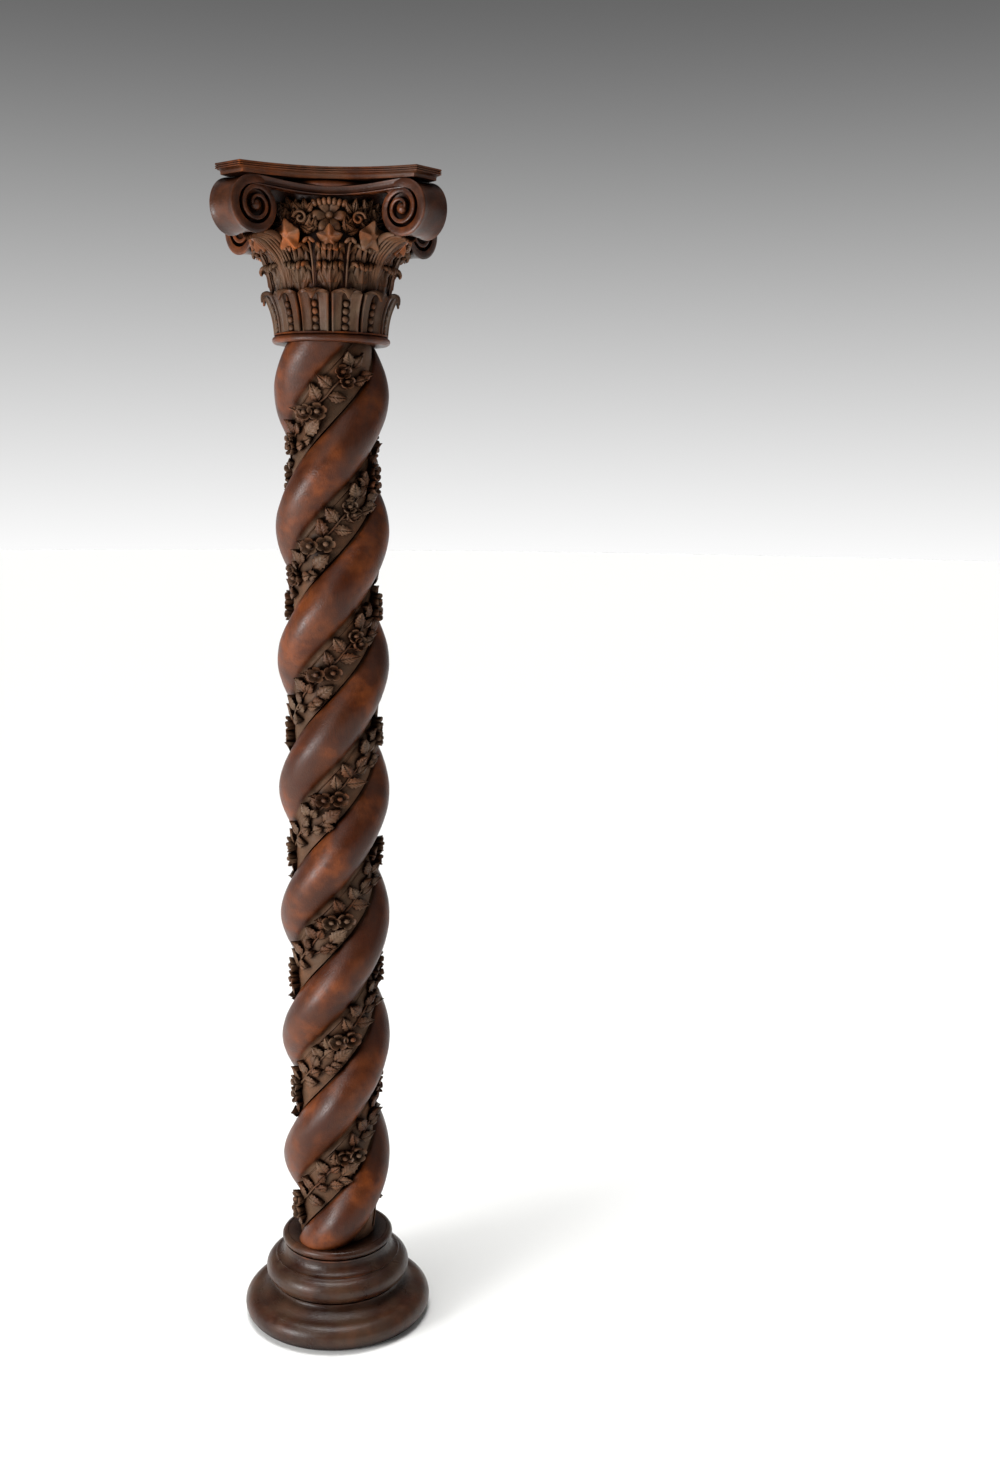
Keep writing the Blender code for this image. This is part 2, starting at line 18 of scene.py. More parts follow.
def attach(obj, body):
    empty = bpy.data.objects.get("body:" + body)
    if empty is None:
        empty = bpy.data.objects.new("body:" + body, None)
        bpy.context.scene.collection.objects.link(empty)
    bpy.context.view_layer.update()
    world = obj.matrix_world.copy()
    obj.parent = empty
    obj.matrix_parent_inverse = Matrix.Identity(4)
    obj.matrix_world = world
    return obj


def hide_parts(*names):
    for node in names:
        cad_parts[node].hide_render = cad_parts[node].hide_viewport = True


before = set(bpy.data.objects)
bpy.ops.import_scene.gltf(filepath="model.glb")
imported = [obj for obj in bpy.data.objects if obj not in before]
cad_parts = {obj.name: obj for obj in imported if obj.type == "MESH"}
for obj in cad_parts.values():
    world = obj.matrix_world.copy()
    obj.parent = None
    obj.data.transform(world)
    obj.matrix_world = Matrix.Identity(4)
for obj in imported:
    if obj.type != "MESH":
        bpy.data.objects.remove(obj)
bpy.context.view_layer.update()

log = logging.getLogger("column")
Place = Callable[[np.ndarray], np.ndarray]
Numbers = tuple[float, ...]
Line = tuple[Numbers, ...]
Socket = bpy.types.NodeSocket

CORNERS = 4
QUARTER = math.pi / 2
LATTICE = 32
RIDGE_RADIUS = 0.004
STALK_LIFT = 0.0022
SPINE_STEP = 0.01
BALL_CAP = 0.08


def hex_to_linear(code: str) -> tuple[float, float, float, float]:
    """Turns an sRGB hex value to the linear colour that a shader takes.

    Args:
        code: six hex digits, with or without a leading hash.

    Returns:
        Red, green, blue and an alpha of 1.
    """
    digits = code.lstrip("#")
    parts = [int(digits[i : i + 2], 16) / 255 for i in (0, 2, 4)]
    red, green, blue = [c / 12.92 if c <= 0.04045 else ((c + 0.055) / 1.055) ** 2.4 for c in parts]
    return red, green, blue, 1.0


def add_node(
    tree: bpy.types.NodeTree, kind: str, inputs: dict | tuple = (), output: int | str = 0, **settings: object
) -> Socket:
    """Adds one node, sets its options, and fills its inputs with values or links.

    Args:
        tree: the node tree that takes the node.
        kind: Blender's name for the node.
        inputs: values or other nodes' outputs, by the input's name or number, or in the node's own order.
        output: the name or number of the output to hand back.
        settings: the node's own options.

    Returns:
        That output of the new node.
    """
    node = tree.nodes.new(kind)
    for name, value in settings.items():
        setattr(node, name, value)
    for name, value in inputs.items() if isinstance(inputs, dict) else enumerate(inputs):
        if isinstance(value, Socket):
            tree.links.new(value, node.inputs[name])
        else:
            node.inputs[name].default_value = value
    return node.outputs[output]


def curve_through(stations: np.ndarray | Line | Numbers, shares: np.ndarray) -> np.ndarray:
    """Points on a smooth line through stations.

    Between two stations the line is a cubic that leaves each with half the step between its two neighbours.

    Args:
        stations: the points to go through, one a row.
        shares: places along the line, 0 at the first station and 1 at the last.

    Returns:
        One point for each share, in the last axis.
    """
    stations = np.asarray(stations, float)
    if stations.ndim == 1:
        stations = stations[:, None]
    count = len(stations)
    ends = np.vstack([2 * stations[0] - stations[1], stations, 2 * stations[-1] - stations[-2]])
    place = np.clip(np.asarray(shares, float), 0.0, 1.0) * (count - 1)
    first = np.minimum(place.astype(int), count - 2)
    t = (place - first)[..., None]
    before, a, b, after = ends[first], ends[first + 1], ends[first + 2], ends[first + 3]
    square = (2 * before - 5 * a + 4 * b - after) * t**2
    cube = (3 * a - 3 * b + after - before) * t**3
    return 0.5 * (2 * a + (b - before) * t + square + cube)


def off_spine(spine: np.ndarray | Line, share: np.ndarray, lift: np.ndarray) -> np.ndarray:
    """Points that stand off a spine: its point at each share, and a lift square to it, away from the axis.

    Args:
        spine: stations (reach, height) from foot to tip.
        share: places along the spine, from 0 to 1.
        lift: metres off it.

    Returns:
        Points (reach, height) in the last axis.
    """
    low, high = np.maximum(share - SPINE_STEP, 0), np.minimum(share + SPINE_STEP, 1)
    ahead = curve_through(spine, high) - curve_through(spine, low)
    ahead /= np.linalg.norm(ahead, axis=-1, keepdims=True)
    return curve_through(spine, share) + np.stack([ahead[..., 1], -ahead[..., 0]], -1) * lift[..., None]


def lattice_noise(points: np.ndarray, cell: float, seed: int) -> np.ndarray:
    """Smooth noise in space, from -1 to 1.

    Random numbers stand on the corners of a cubic lattice, and each point blends its cell's eight corners.

    Args:
        points: places in metres, with x, y, z in the last axis.
        cell: the lattice's spacing in metres.
        seed: the seed of the random numbers.

    Returns:
        One number for each point.
    """
    table = np.random.default_rng(seed).uniform(-1, 1, (LATTICE, LATTICE, LATTICE))
    scaled = points / cell
    low = np.floor(scaled).astype(int)
    t = scaled - low
    t = t * t * (3 - 2 * t)
    total = np.zeros(points.shape[:-1])
    for step in np.ndindex(2, 2, 2):
        corner = (low + step) % LATTICE
        weight = np.where(step, t, 1 - t).prod(-1)
        total += weight * table[corner[..., 0], corner[..., 1], corner[..., 2]]
    return total


def round_axis(angle: np.ndarray | float, reach: np.ndarray, height: np.ndarray) -> np.ndarray:
    """Points from an angle round the column's axis, a distance from it and a height."""
    angle, reach, height = np.broadcast_arrays(angle, reach, height)
    return np.stack([reach * np.cos(angle), reach * np.sin(angle), height], -1)


def turned(points: np.ndarray, angle: float) -> np.ndarray:
    """Points turned about the column's axis, or flat ones about their origin."""
    x, y, cos, sin = points[..., 0], points[..., 1], math.cos(angle), math.sin(angle)
    return np.concatenate([np.stack([x * cos - y * sin, x * sin + y * cos], -1), points[..., 2:]], -1)


def arc(centre: tuple[float, float], radius: float, start: float, end: float, steps: int) -> list[tuple]:
    """Points (reach, height) on an arc, from one angle in degrees to another, both ends included."""
    angles = np.radians(np.linspace(start, end, steps + 1))
    return [(centre[0] + radius * math.cos(a), centre[1] + radius * math.sin(a)) for a in angles]


def ball(radii: tuple[float, float, float], rows: int = 7, cols: int = 10) -> np.ndarray:
    """An egg about the origin: its radii times the sines and cosines of two angles.

    Args:
        radii: half its size along x, y and z.
        rows: rings from its top to its foot.
        cols: points in a ring.

    Returns:
        Rows x columns x 3 points.
    """
    down = np.linspace(BALL_CAP, math.pi - BALL_CAP, rows)[:, None]
    turn = np.linspace(0, 2 * math.pi, cols, endpoint=False)[None]
    grid = np.stack([np.sin(down) * np.cos(turn), np.sin(down) * np.sin(turn), np.cos(down) + 0 * turn], -1)
    return grid * radii


def tube(path: np.ndarray, radius: np.ndarray | float, sides: int = 8) -> np.ndarray:
    """A round stem along a path: circles across it, kept from turning by the direction away from the axis.

    Args:
        path: points x 3.
        radius: one radius, or one for each point.
        sides: points in a circle.

    Returns:
        Points x sides x 3.
    """
    ahead = np.gradient(path, axis=0)
    ahead /= np.linalg.norm(ahead, axis=1, keepdims=True)
    away = path * (1.0, 1.0, 0.0)
    away /= np.linalg.norm(away, axis=1, keepdims=True)
    across = np.cross(ahead, away)
    across /= np.linalg.norm(across, axis=1, keepdims=True)
    up = np.cross(across, ahead)
    turn = np.linspace(0, 2 * math.pi, sides, endpoint=False)[None, :, None]
    radius = np.broadcast_to(radius, (len(path),))[:, None, None]
    return path[:, None] + radius * (np.cos(turn) * across[:, None] + np.sin(turn) * up[:, None])


def toothed_leaf(length: float, width: float, rise: float, curl: float) -> tuple[np.ndarray, np.ndarray]:
    """One flat leaf, its stalk at the origin and its point along +X.

    Its half width is a power of the sine along it, with five teeth a side. Its top is a low arch with a
    groove on the midrib, and its middle line climbs by rise and then by curl times the cube of the way
    along.

    Args:
        length: from stalk to point.
        width: at the widest.
        rise: height of its middle over the floor.
        curl: extra height of its point.

    Returns:
        Rows x columns x 3 points, and their places on the leaf for its veins.
    """
    along = np.linspace(0.02, 0.985, 15)[:, None]
    side = np.array([-1.0, -0.66, -0.30, 0.0, 0.30, 0.66, 1.0, 0.55, -0.55])[None]
    on_top = np.array([1, 1, 1, 1, 1, 1, 1, 0, 0], bool)[None]
    half = width / 2 * np.sin(math.pi * along**0.76) ** 0.92
    toothed = half * (1 + 0.17 * np.sin(along * math.pi * 10) * (np.abs(side) > 0.9))
    arch = 0.0034 * (1 - side**2) - 0.0022 * (side == 0)
    middle = rise * np.sqrt(np.minimum(along * 2.2, 1)) + curl * along**3
    level = np.where(on_top, middle + arch, middle * 0.15 - 0.003)
    grid = np.stack(np.broadcast_arrays(length * along, toothed * side, level), -1)
    veins = np.stack(np.broadcast_arrays(along * 2.0 - np.abs(side) * 0.5, side), -1)
    return grid, veins


class Growth(Enum):
    """Which way the fibres run, as cells a metre along x, y and z: 1.9 mm wide and 38 mm long."""

    UPRIGHT = (520.0, 520.0, 26.0)
    LEVEL = (26.0, 520.0, 520.0)


class Cloud(Enum):
    """The patchy noises of a finish, each with its patches' size in metres and its detail."""

    MOTTLE = (0.022, 3.0)
    PATCH = (0.085, 2.0)
    FILM = (0.060, 4.0)
    PIT = (0.0028, 2.0)


@dataclass(frozen=True)
class WaxedWalnut:
    """Old stained walnut, carved or turned, then waxed and rubbed over many years.

    The eye gets a dark brown body, orange where hands have rubbed the stain thin, near-black painted shade in
    the recesses from ambient occlusion, fine fibres, small pits and a satin gloss that breaks up in patches.

    Attributes:
        name: the material's name.
        body, shadow, rubbed, dust: hex colours of the stain, of fibres and painted shade in recesses, of wear
            and of dust.
        rub, dusting: how far the ridges are worn and how thick the dust lies, from 0 to 1.
        roughness, gloss, coat: the shader's roughness, its specular level and its coat of wax.
        pit_depth: how strongly the pits show.
        hollow_reach: metres from the axis, inside which dust lies on the floor of the shaft's hollows.
        shut, open: the shares of open air at which the painted shade of a recess is full and at which it is
            gone.
        growth: which way the fibres run.
        veined: True on leaves, whose veins follow their own UV map.
    """

    name: str
    body: str = "451e0a"
    shadow: str = "150804"
    rubbed: str = "a04f16"
    dust: str = "695644"
    rub: float = 0.55
    dusting: float = 0.20
    roughness: float = 0.40
    gloss: float = 0.34
    coat: float = 0.10
    pit_depth: float = 0.35
    hollow_reach: float = 0.001
    shut: float = 0.34
    open: float = 0.88
    growth: Growth = Growth.UPRIGHT
    veined: bool = False

    def material(self) -> bpy.types.Material:
        """Builds the finish.

        Returns:
            The material, whose patterns read Object coordinates, the ridge and wear attributes and, on
            leaves, the UV map.
        """
        made = bpy.data.materials.new(self.name)
        made.use_nodes = True
        tree = made.node_tree
        shader = tree.nodes["Principled BSDF"]
        read = self._readings(tree)
        roughness, shine = self._gloss(tree, read)
        tree.links.new(self._colour(tree, read), shader.inputs["Base Color"])
        tree.links.new(roughness, shader.inputs["Roughness"])
        tree.links.new(shine, shader.inputs["Specular IOR Level"])
        tree.links.new(self._relief(tree, read), shader.inputs["Normal"])
        shader.inputs["IOR"].default_value = 1.48
        shader.inputs["Coat Weight"].default_value = self.coat
        shader.inputs["Coat Roughness"].default_value = 0.25
        return made

    def _readings(self, tree: bpy.types.NodeTree) -> dict[str | Cloud, Socket]:
        """What the finish reads at each point.

        The fibres are drawn wider than walnut's pores, so that they show. The floor is 1 nearer to the axis
        than the hollow's reach and 0 outside it.

        Args:
            tree: the material's node tree.

        Returns:
            The clouds, the fibres, the open air round a point, the hollows' floor, the ridges and the wear.
        """
        place = add_node(tree, "ShaderNodeTexCoord", output="Object")
        read = {}
        for cloud in Cloud:
            size, detail = cloud.value
            inputs = {"Vector": place, "Scale": 1 / size, "Detail": detail, "Roughness": 0.55}
            read[cloud] = add_node(tree, "ShaderNodeTexNoise", inputs, "Fac")
        stretched = add_node(tree, "ShaderNodeMapping", {"Vector": place, "Scale": self.growth.value})
        inputs = {"Vector": stretched, "Scale": 1.0, "Detail": 4.0, "Roughness": 0.6}
        read["fibres"] = add_node(tree, "ShaderNodeTexNoise", inputs, "Fac")
        # Ambient occlusion: it paints shade into the recesses' colour and onto their reflections.
        read["open air"] = add_node(tree, "ShaderNodeAmbientOcclusion", {"Distance": 0.035}, "AO", samples=8)
        level = add_node(tree, "ShaderNodeVectorMath", (place, (1, 1, 0)), operation="MULTIPLY")
        reach = add_node(tree, "ShaderNodeVectorMath", (level,), "Value", operation="LENGTH")
        inputs = (reach, self.hollow_reach, self.hollow_reach + 0.003, 1.0, 0.0)
        read["floor"] = add_node(tree, "ShaderNodeMapRange", inputs)
        for name in ("ridge", "wear"):
            read[name] = add_node(tree, "ShaderNodeAttribute", output="Fac", attribute_name=name)
        return read

    def _colour(self, tree: bpy.types.NodeTree, read: dict[str | Cloud, Socket]) -> Socket:
        """Stain over fibres, worn to orange on ridges and in patches, dusty inside, and painted shade in the
        recesses.

        Args:
            tree: the material's node tree.
            read: what the finish reads.

        Returns:
            The colour.
        """
        streaked = add_node(tree, "ShaderNodeMapRange", (read["fibres"], 0.40, 0.66, 0.0, 0.42))
        clouded = add_node(tree, "ShaderNodeMapRange", (read[Cloud.MOTTLE], 0.36, 0.66, 0.20, 1.0))
        in_patch = add_node(tree, "ShaderNodeMapRange", (read[Cloud.PATCH], 0.42, 0.62))
        worn = add_node(tree, "ShaderNodeMapRange", (read["ridge"], 0.46, 0.80, 0.20, 1.0))
        for share in (in_patch, clouded, self.rub):
            worn = add_node(tree, "ShaderNodeMath", (worn, share), operation="MULTIPLY")
        handled = add_node(tree, "ShaderNodeMath", (read["wear"], clouded), operation="MULTIPLY")
        worn = add_node(tree, "ShaderNodeMath", (worn, handled), operation="MAXIMUM")
        dusty = add_node(tree, "ShaderNodeMapRange", (read[Cloud.FILM], 0.40, 0.62, 0.1, 1.0))
        dusty = add_node(tree, "ShaderNodeMath", (dusty, self.dusting), operation="MULTIPLY")
        on_floor = add_node(tree, "ShaderNodeMath", (read["floor"], 0.5), operation="MULTIPLY")
        dusty = add_node(tree, "ShaderNodeMath", (dusty, on_floor), operation="MAXIMUM")
        # Painted shade: the shadow colour is mixed in where ambient occlusion finds a recess.
        closed = add_node(tree, "ShaderNodeMapRange", (read["open air"], self.shut, self.open, 1.0, 0.0))
        colour = hex_to_linear(self.body)
        layers = ((streaked, self.shadow), (worn, self.rubbed), (dusty, self.dust), (closed, self.shadow))
        for share, code in layers:
            inputs = {0: share, 6: colour, 7: hex_to_linear(code)}
            colour = add_node(tree, "ShaderNodeMix", inputs, 2, data_type="RGBA")
        return colour

    def _gloss(self, tree: bpy.types.NodeTree, read: dict[str | Cloud, Socket]) -> tuple[Socket, Socket]:
        """Satin, duller in hollows, less shiny there as painted shade on the reflections, and broken up in
        patches.

        Args:
            tree: the material's node tree.
            read: what the finish reads.

        Returns:
            The roughness and the specular level.
        """
        smooth, rough = self.roughness - 0.06, self.roughness + 0.10
        patchy = add_node(tree, "ShaderNodeMapRange", (read[Cloud.MOTTLE], 0.3, 0.7, smooth, rough))
        patchy = add_node(tree, "ShaderNodeMath", (read["floor"], 0.15, patchy), operation="MULTIPLY_ADD")
        # Painted shade on the reflections: the specular level falls where ambient occlusion finds a recess.
        shine = add_node(tree, "ShaderNodeMapRange", (read["open air"], 0.40, 0.92, 0.04, self.gloss))
        kept = add_node(tree, "ShaderNodeMapRange", (read["floor"], 0.0, 1.0, 1.0, 0.4))
        return patchy, add_node(tree, "ShaderNodeMath", (shine, kept), operation="MULTIPLY")

    def _relief(self, tree: bpy.types.NodeTree, read: dict[str | Cloud, Socket]) -> Socket:
        """Small pits 2.8 mm apart in the wax and a faint rise of the fibres, with veins on leaves.

        Args:
            tree: the material's node tree.
            read: what the finish reads.

        Returns:
            The normal.
        """
        pits = add_node(tree, "ShaderNodeMapRange", (read[Cloud.PIT], 0.30, 0.50))
        reliefs = [(pits, self.pit_depth, 0.0006), (read["fibres"], 0.25, 0.0005)]
        if self.veined:
            inputs = {"Vector": add_node(tree, "ShaderNodeUVMap", uv_map="leaf"), "Scale": 1.0, "Detail": 0.0}
            veins = add_node(tree, "ShaderNodeTexWave", inputs, "Fac", bands_direction="X")
            reliefs.append((veins, 0.5, 0.0012))
        below = {}
        for height, strength, depth in reliefs:
            inputs = {"Height": height, "Strength": strength, "Distance": depth} | below
            below = {"Normal": add_node(tree, "ShaderNodeBump", inputs)}
        return below["Normal"]


# The strands, the neck ring and the bell: handled most, so red-brown, worn bright, with hardly any dust.
STRANDS = WaxedWalnut(
    "waxed_walnut_ribs", body="3e1804", rub=0.90, dusting=0.06, gloss=0.27, coat=0.02, roughness=0.36,
    hollow_reach=0.0705,
)
# The scrolls and bands: darkest and smoothest, with a satin sheen and a reddish edge.
# Their darkest body is in part painted shade, for their place under the board.
SCROLLS = WaxedWalnut(
    "waxed_walnut_scrolls", body="290f04", rub=0.62, dusting=0.05, gloss=0.30, coat=0.03, roughness=0.34,
)
# The vine in the hollows: out of reach, so dull, grey-brown with dust, and veined on its leaves.
VINE = WaxedWalnut(
    "waxed_walnut_vine", body="4c2d1a", rub=0.25, dusting=0.58, gloss=0.20, coat=0.0, roughness=0.44,
    veined=True,
)
# The turned base: nearly black-brown, smooth from the lathe, with a thin grey film on its rolls.
BASE = WaxedWalnut(
    "waxed_walnut_base", body="280f05", rub=0.26, dusting=0.22, gloss=0.30, coat=0.04, roughness=0.32,
)
# The petals: dusty grey-brown between rims that are rubbed a little.
PETALS = WaxedWalnut(
    "waxed_walnut_carving", body="3b2110", rub=0.38, dusting=0.56, gloss=0.18, coat=0.0, roughness=0.40,
)
# The capital's leaves and flowers: lighter, dusty, with orange tips and softer painted shade in the gaps.
LEAVES = WaxedWalnut(
    "waxed_walnut_leaves", body="482a15", rub=0.60, dusting=0.44, gloss=0.18, coat=0.0, roughness=0.40,
    shut=0.28, open=0.78, veined=True,
)
# The board on top: warm brown, its fibres level and its edges rubbed.
BOARD = WaxedWalnut("waxed_walnut_board", body="371707", rub=0.70, gloss=0.18, coat=0.02, growth=Growth.LEVEL)


@dataclass
class Carving:
    """The closed skins that together make one piece."""

    name: str
    points: list[np.ndarray] = field(default_factory=list)
    faces: list[np.ndarray] = field(default_factory=list)
    maps: list[np.ndarray] = field(default_factory=list)
    wears: list[np.ndarray] = field(default_factory=list)
    count: int = 0

    def _add(
        self, points: np.ndarray, quads: np.ndarray, fans: np.ndarray, maps: np.ndarray | None, wear: float
    ) -> None:
        """Adds one closed skin, turned so that its faces point outwards.

        The sum of the products of each triangle's corners is six times the volume, and is below 0 if they
        point inwards.

        Args:
            points: points x 3.
            quads: its faces of four corners.
            fans: its faces of three corners.
            maps: points x 2 leaf places, where the skin is a leaf.
            wear: how far the stain is rubbed off all over it.
        """
        corners = np.concatenate([quads[:, [0, 1, 2]], quads[:, [0, 2, 3]], fans])
        a, b, c = (points[corners[:, i]] for i in range(3))
        if np.einsum("ij,ij->i", a, np.cross(b, c)).sum() < 0:
            quads, fans = quads[:, ::-1], fans[:, ::-1]
        self.points.append(points)
        self.faces += [quads + self.count, fans + self.count]
        self.maps.append(np.zeros((len(points), 2)) if maps is None else maps)
        self.wears.append(np.full(len(points), wear))
        self.count += len(points)

    def add_shell(self, grid: np.ndarray, maps: np.ndarray | None = None, wear: float = 0.0) -> None:
        """Adds a skin whose columns go round and meet, closed at its first and last row by a fan.

        Args:
            grid: rows x columns x 3 points.
            maps: rows x columns x 2 leaf places, where the skin is a leaf.
            wear: how far the stain is rubbed off all over it, from 0 to 1.
        """
        rows, cols = grid.shape[:2]
        index = np.arange(rows * cols).reshape(rows, cols)
        following = np.roll(index, -1, axis=1)
        quads = np.stack([index[:-1], following[:-1], following[1:], index[1:]], -1).reshape(-1, 4)
        first, last = np.full(cols, rows * cols), np.full(cols, rows * cols + 1)
        start = np.stack([first, following[0], index[0]], -1)
        end = np.stack([last, index[-1], following[-1]], -1)
        points = np.concatenate([grid.reshape(-1, 3), [grid[0].mean(0)], [grid[-1].mean(0)]])
        if maps is not None:
            maps = np.concatenate([maps.reshape(-1, 2), [maps[0].mean(0)], [maps[-1].mean(0)]])
        self._add(points, quads, np.concatenate([start, end]), maps, wear)

    def add_slab(
        self, front: np.ndarray, back: np.ndarray, maps: np.ndarray | None = None, wear: float = 0.0
    ) -> None:
        """Adds a skin with a front and a back of the same grid, joined round their edge.

        Args:
            front: rows x columns x 3 points.
            back: as many points behind them.
            maps: rows x columns x 2 leaf places, where the skin is a leaf.
            wear: how far the stain is rubbed off all over it, from 0 to 1.
        """
        rows, cols = front.shape[:2]
        index = np.arange(rows * cols).reshape(rows, cols)
        face = np.stack([index[:-1, :-1], index[:-1, 1:], index[1:, 1:], index[1:, :-1]], -1).reshape(-1, 4)
        rim = np.concatenate([index[0], index[1:, -1], index[-1, -2::-1], index[-2:0:-1, 0]])
        after = np.roll(rim, -1)
        size = rows * cols
        edge = np.stack([rim, rim + size, after + size, after], -1)
        points = np.concatenate([front.reshape(-1, 3), back.reshape(-1, 3)])
        if maps is not None:
            maps = np.tile(maps.reshape(-1, 2), (2, 1))
        quads = np.concatenate([face, face[:, ::-1] + size, edge])
        self._add(points, quads, np.zeros((0, 3), int), maps, wear)

    def build(self, finish: bpy.types.Material, slot: str, node: str, crisp: float) -> bpy.types.Object:
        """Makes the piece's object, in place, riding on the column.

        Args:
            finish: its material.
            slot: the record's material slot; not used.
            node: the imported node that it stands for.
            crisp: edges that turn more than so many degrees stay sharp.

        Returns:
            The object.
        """
        mesh = bpy.data.meshes.new(self.name)
        faces = [row for block in self.faces for row in block.tolist()]
        mesh.from_pydata(np.concatenate(self.points), [], faces)
        mesh.shade_smooth()
        mesh.set_sharp_from_angle(angle=math.radians(crisp))
        self._write_ridges(mesh)
        corners = np.zeros(len(mesh.loops), int)
        mesh.loops.foreach_get("vertex_index", corners)
        places = mesh.uv_layers.new(name="leaf")
        places.uv.foreach_set("vector", np.concatenate(self.maps)[corners].astype(np.float32).ravel())
        wear = mesh.attributes.new("wear", "FLOAT", "POINT")
        wear.data.foreach_set("value", np.concatenate(self.wears).astype(np.float32))
        mesh.materials.append(finish)
        made = bpy.data.objects.new(self.name, mesh)
        bpy.context.scene.collection.objects.link(made)
        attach(made, "root")
        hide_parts(node)
        triangles = sum(len(block) * (block.shape[1] - 2) for block in self.faces)
        log.info("%s: %d triangles", self.name, triangles)
        return made

    def _write_ridges(self, mesh: bpy.types.Mesh) -> None:
        """Keeps how sharply each point stands out, 0 in a groove, 0.5 on a flat and 1 on a ridge.

        The curve at a point is twice its height over the middle of its neighbours, along its normal, over
        their squared distance. A ridge of RIDGE_RADIUS counts as sharp.

        Args:
            mesh: the piece's mesh.
        """
        count = len(mesh.vertices)
        points, normals = np.zeros(count * 3), np.zeros(count * 3)
        mesh.vertices.foreach_get("co", points)
        mesh.vertices.foreach_get("normal", normals)
        points, normals = points.reshape(-1, 3), normals.reshape(-1, 3)
        ends = np.zeros(len(mesh.edges) * 2, int)
        mesh.edges.foreach_get("vertices", ends)
        rise, total = np.zeros(count), np.zeros(count)
        for here, there in (ends.reshape(-1, 2).T, ends.reshape(-1, 2).T[::-1]):
            step = points[there] - points[here]
            rise += np.bincount(here, -(step * normals[here]).sum(1), count)
            total += np.bincount(here, (step**2).sum(1), count)
        curve = 2 * rise / np.maximum(total, 1e-12)
        attribute = mesh.attributes.new("ridge", "FLOAT", "POINT")
        attribute.data.foreach_set("value", np.clip(0.5 + curve * RIDGE_RADIUS / 2, 0, 1).astype(np.float32))


class Bloom(Enum):
    """How a flower is carved: each form gives its rings' levels, how sharply its petals part and how deep."""

    CUPPED = ((0.92, 0.90, 0.76, 0.50, 0.50, 0.60, 0.74, 0.86, 0.82, 0.60, 0.26, 0.0), 0.34, 0.24)
    LOBED = ((1.0, 0.95, 0.80, 0.56, 0.66, 0.78, 0.82, 0.74, 0.58, 0.42, 0.20, 0.0), 0.55, 0.42)
    POINTED = ((0.94, 0.96, 0.98, 1.0, 1.0, 0.96, 0.90, 0.82, 0.72, 0.50, 0.22, 0.0), 1.3, 0.42)


@dataclass(frozen=True)
class Flower:
    """A round carved flower: petals that dish and overlap a raised bud, with its rim undercut.

    Attributes:
        radius, height: metres from its middle to its rim, and over the work.
        petals: how many.
        notch: how far it is cut in between two petals, as a share of the radius.
        bud: the bud's radius, as a share of the flower's.
        sink: metres that its foot stands in the work.
        sides: points in a ring.
        bloom: how it is carved.
    """

    radius: float
    height: float
    petals: int = 5
    notch: float = 0.27
    bud: float = 0.30
    sink: float = 0.004
    sides: int = 30
    bloom: Bloom = Bloom.CUPPED

    def shell(self, place: Place, turn: float = 0.0) -> np.ndarray:
        """The flower's skin, from its bud over its petals to its foot.

        Rings run out and then back under, each at its bloom's level. Past the bud each ring is drawn in
        between two petals by a power of the cosine of half the petal angle, or of what its sine leaves
        where petals are pointed, and the petals' height dips by the same share.

        Args:
            place: puts points drawn about the origin, with +Z outwards, on the work.
            turn: the angle of the first petal.

        Returns:
            Rings x sides x 3 points.
        """
        over_bud = np.array([0.05, 0.6, 0.95, 1.05]) * self.bud
        share = np.concatenate([over_bud, [0.46, 0.62, 0.78, 0.92, 1.0, 0.97, 0.80, 0.62]])[:, None]
        levels, parting, dip = self.bloom.value
        level = np.array(levels)[:, None]
        angle = np.linspace(0, 2 * math.pi, self.sides, endpoint=False)[None]
        petal = np.abs(np.cos(self.petals * angle / 2)) ** parting
        if self.bloom is Bloom.POINTED:
            petal = 1 - np.abs(np.sin(self.petals * angle / 2)) ** parting
        past_bud = np.clip((share - self.bud) / (1 - self.bud), 0, 1) ** 0.6
        reach = self.radius * share * (1 - self.notch * past_bud * (1 - petal))
        lift = (self.height + self.sink) * level * (1 - dip * past_bud * (1 - petal)) - self.sink
        return place(np.stack([reach * np.cos(angle + turn), reach * np.sin(angle + turn), lift], -1))


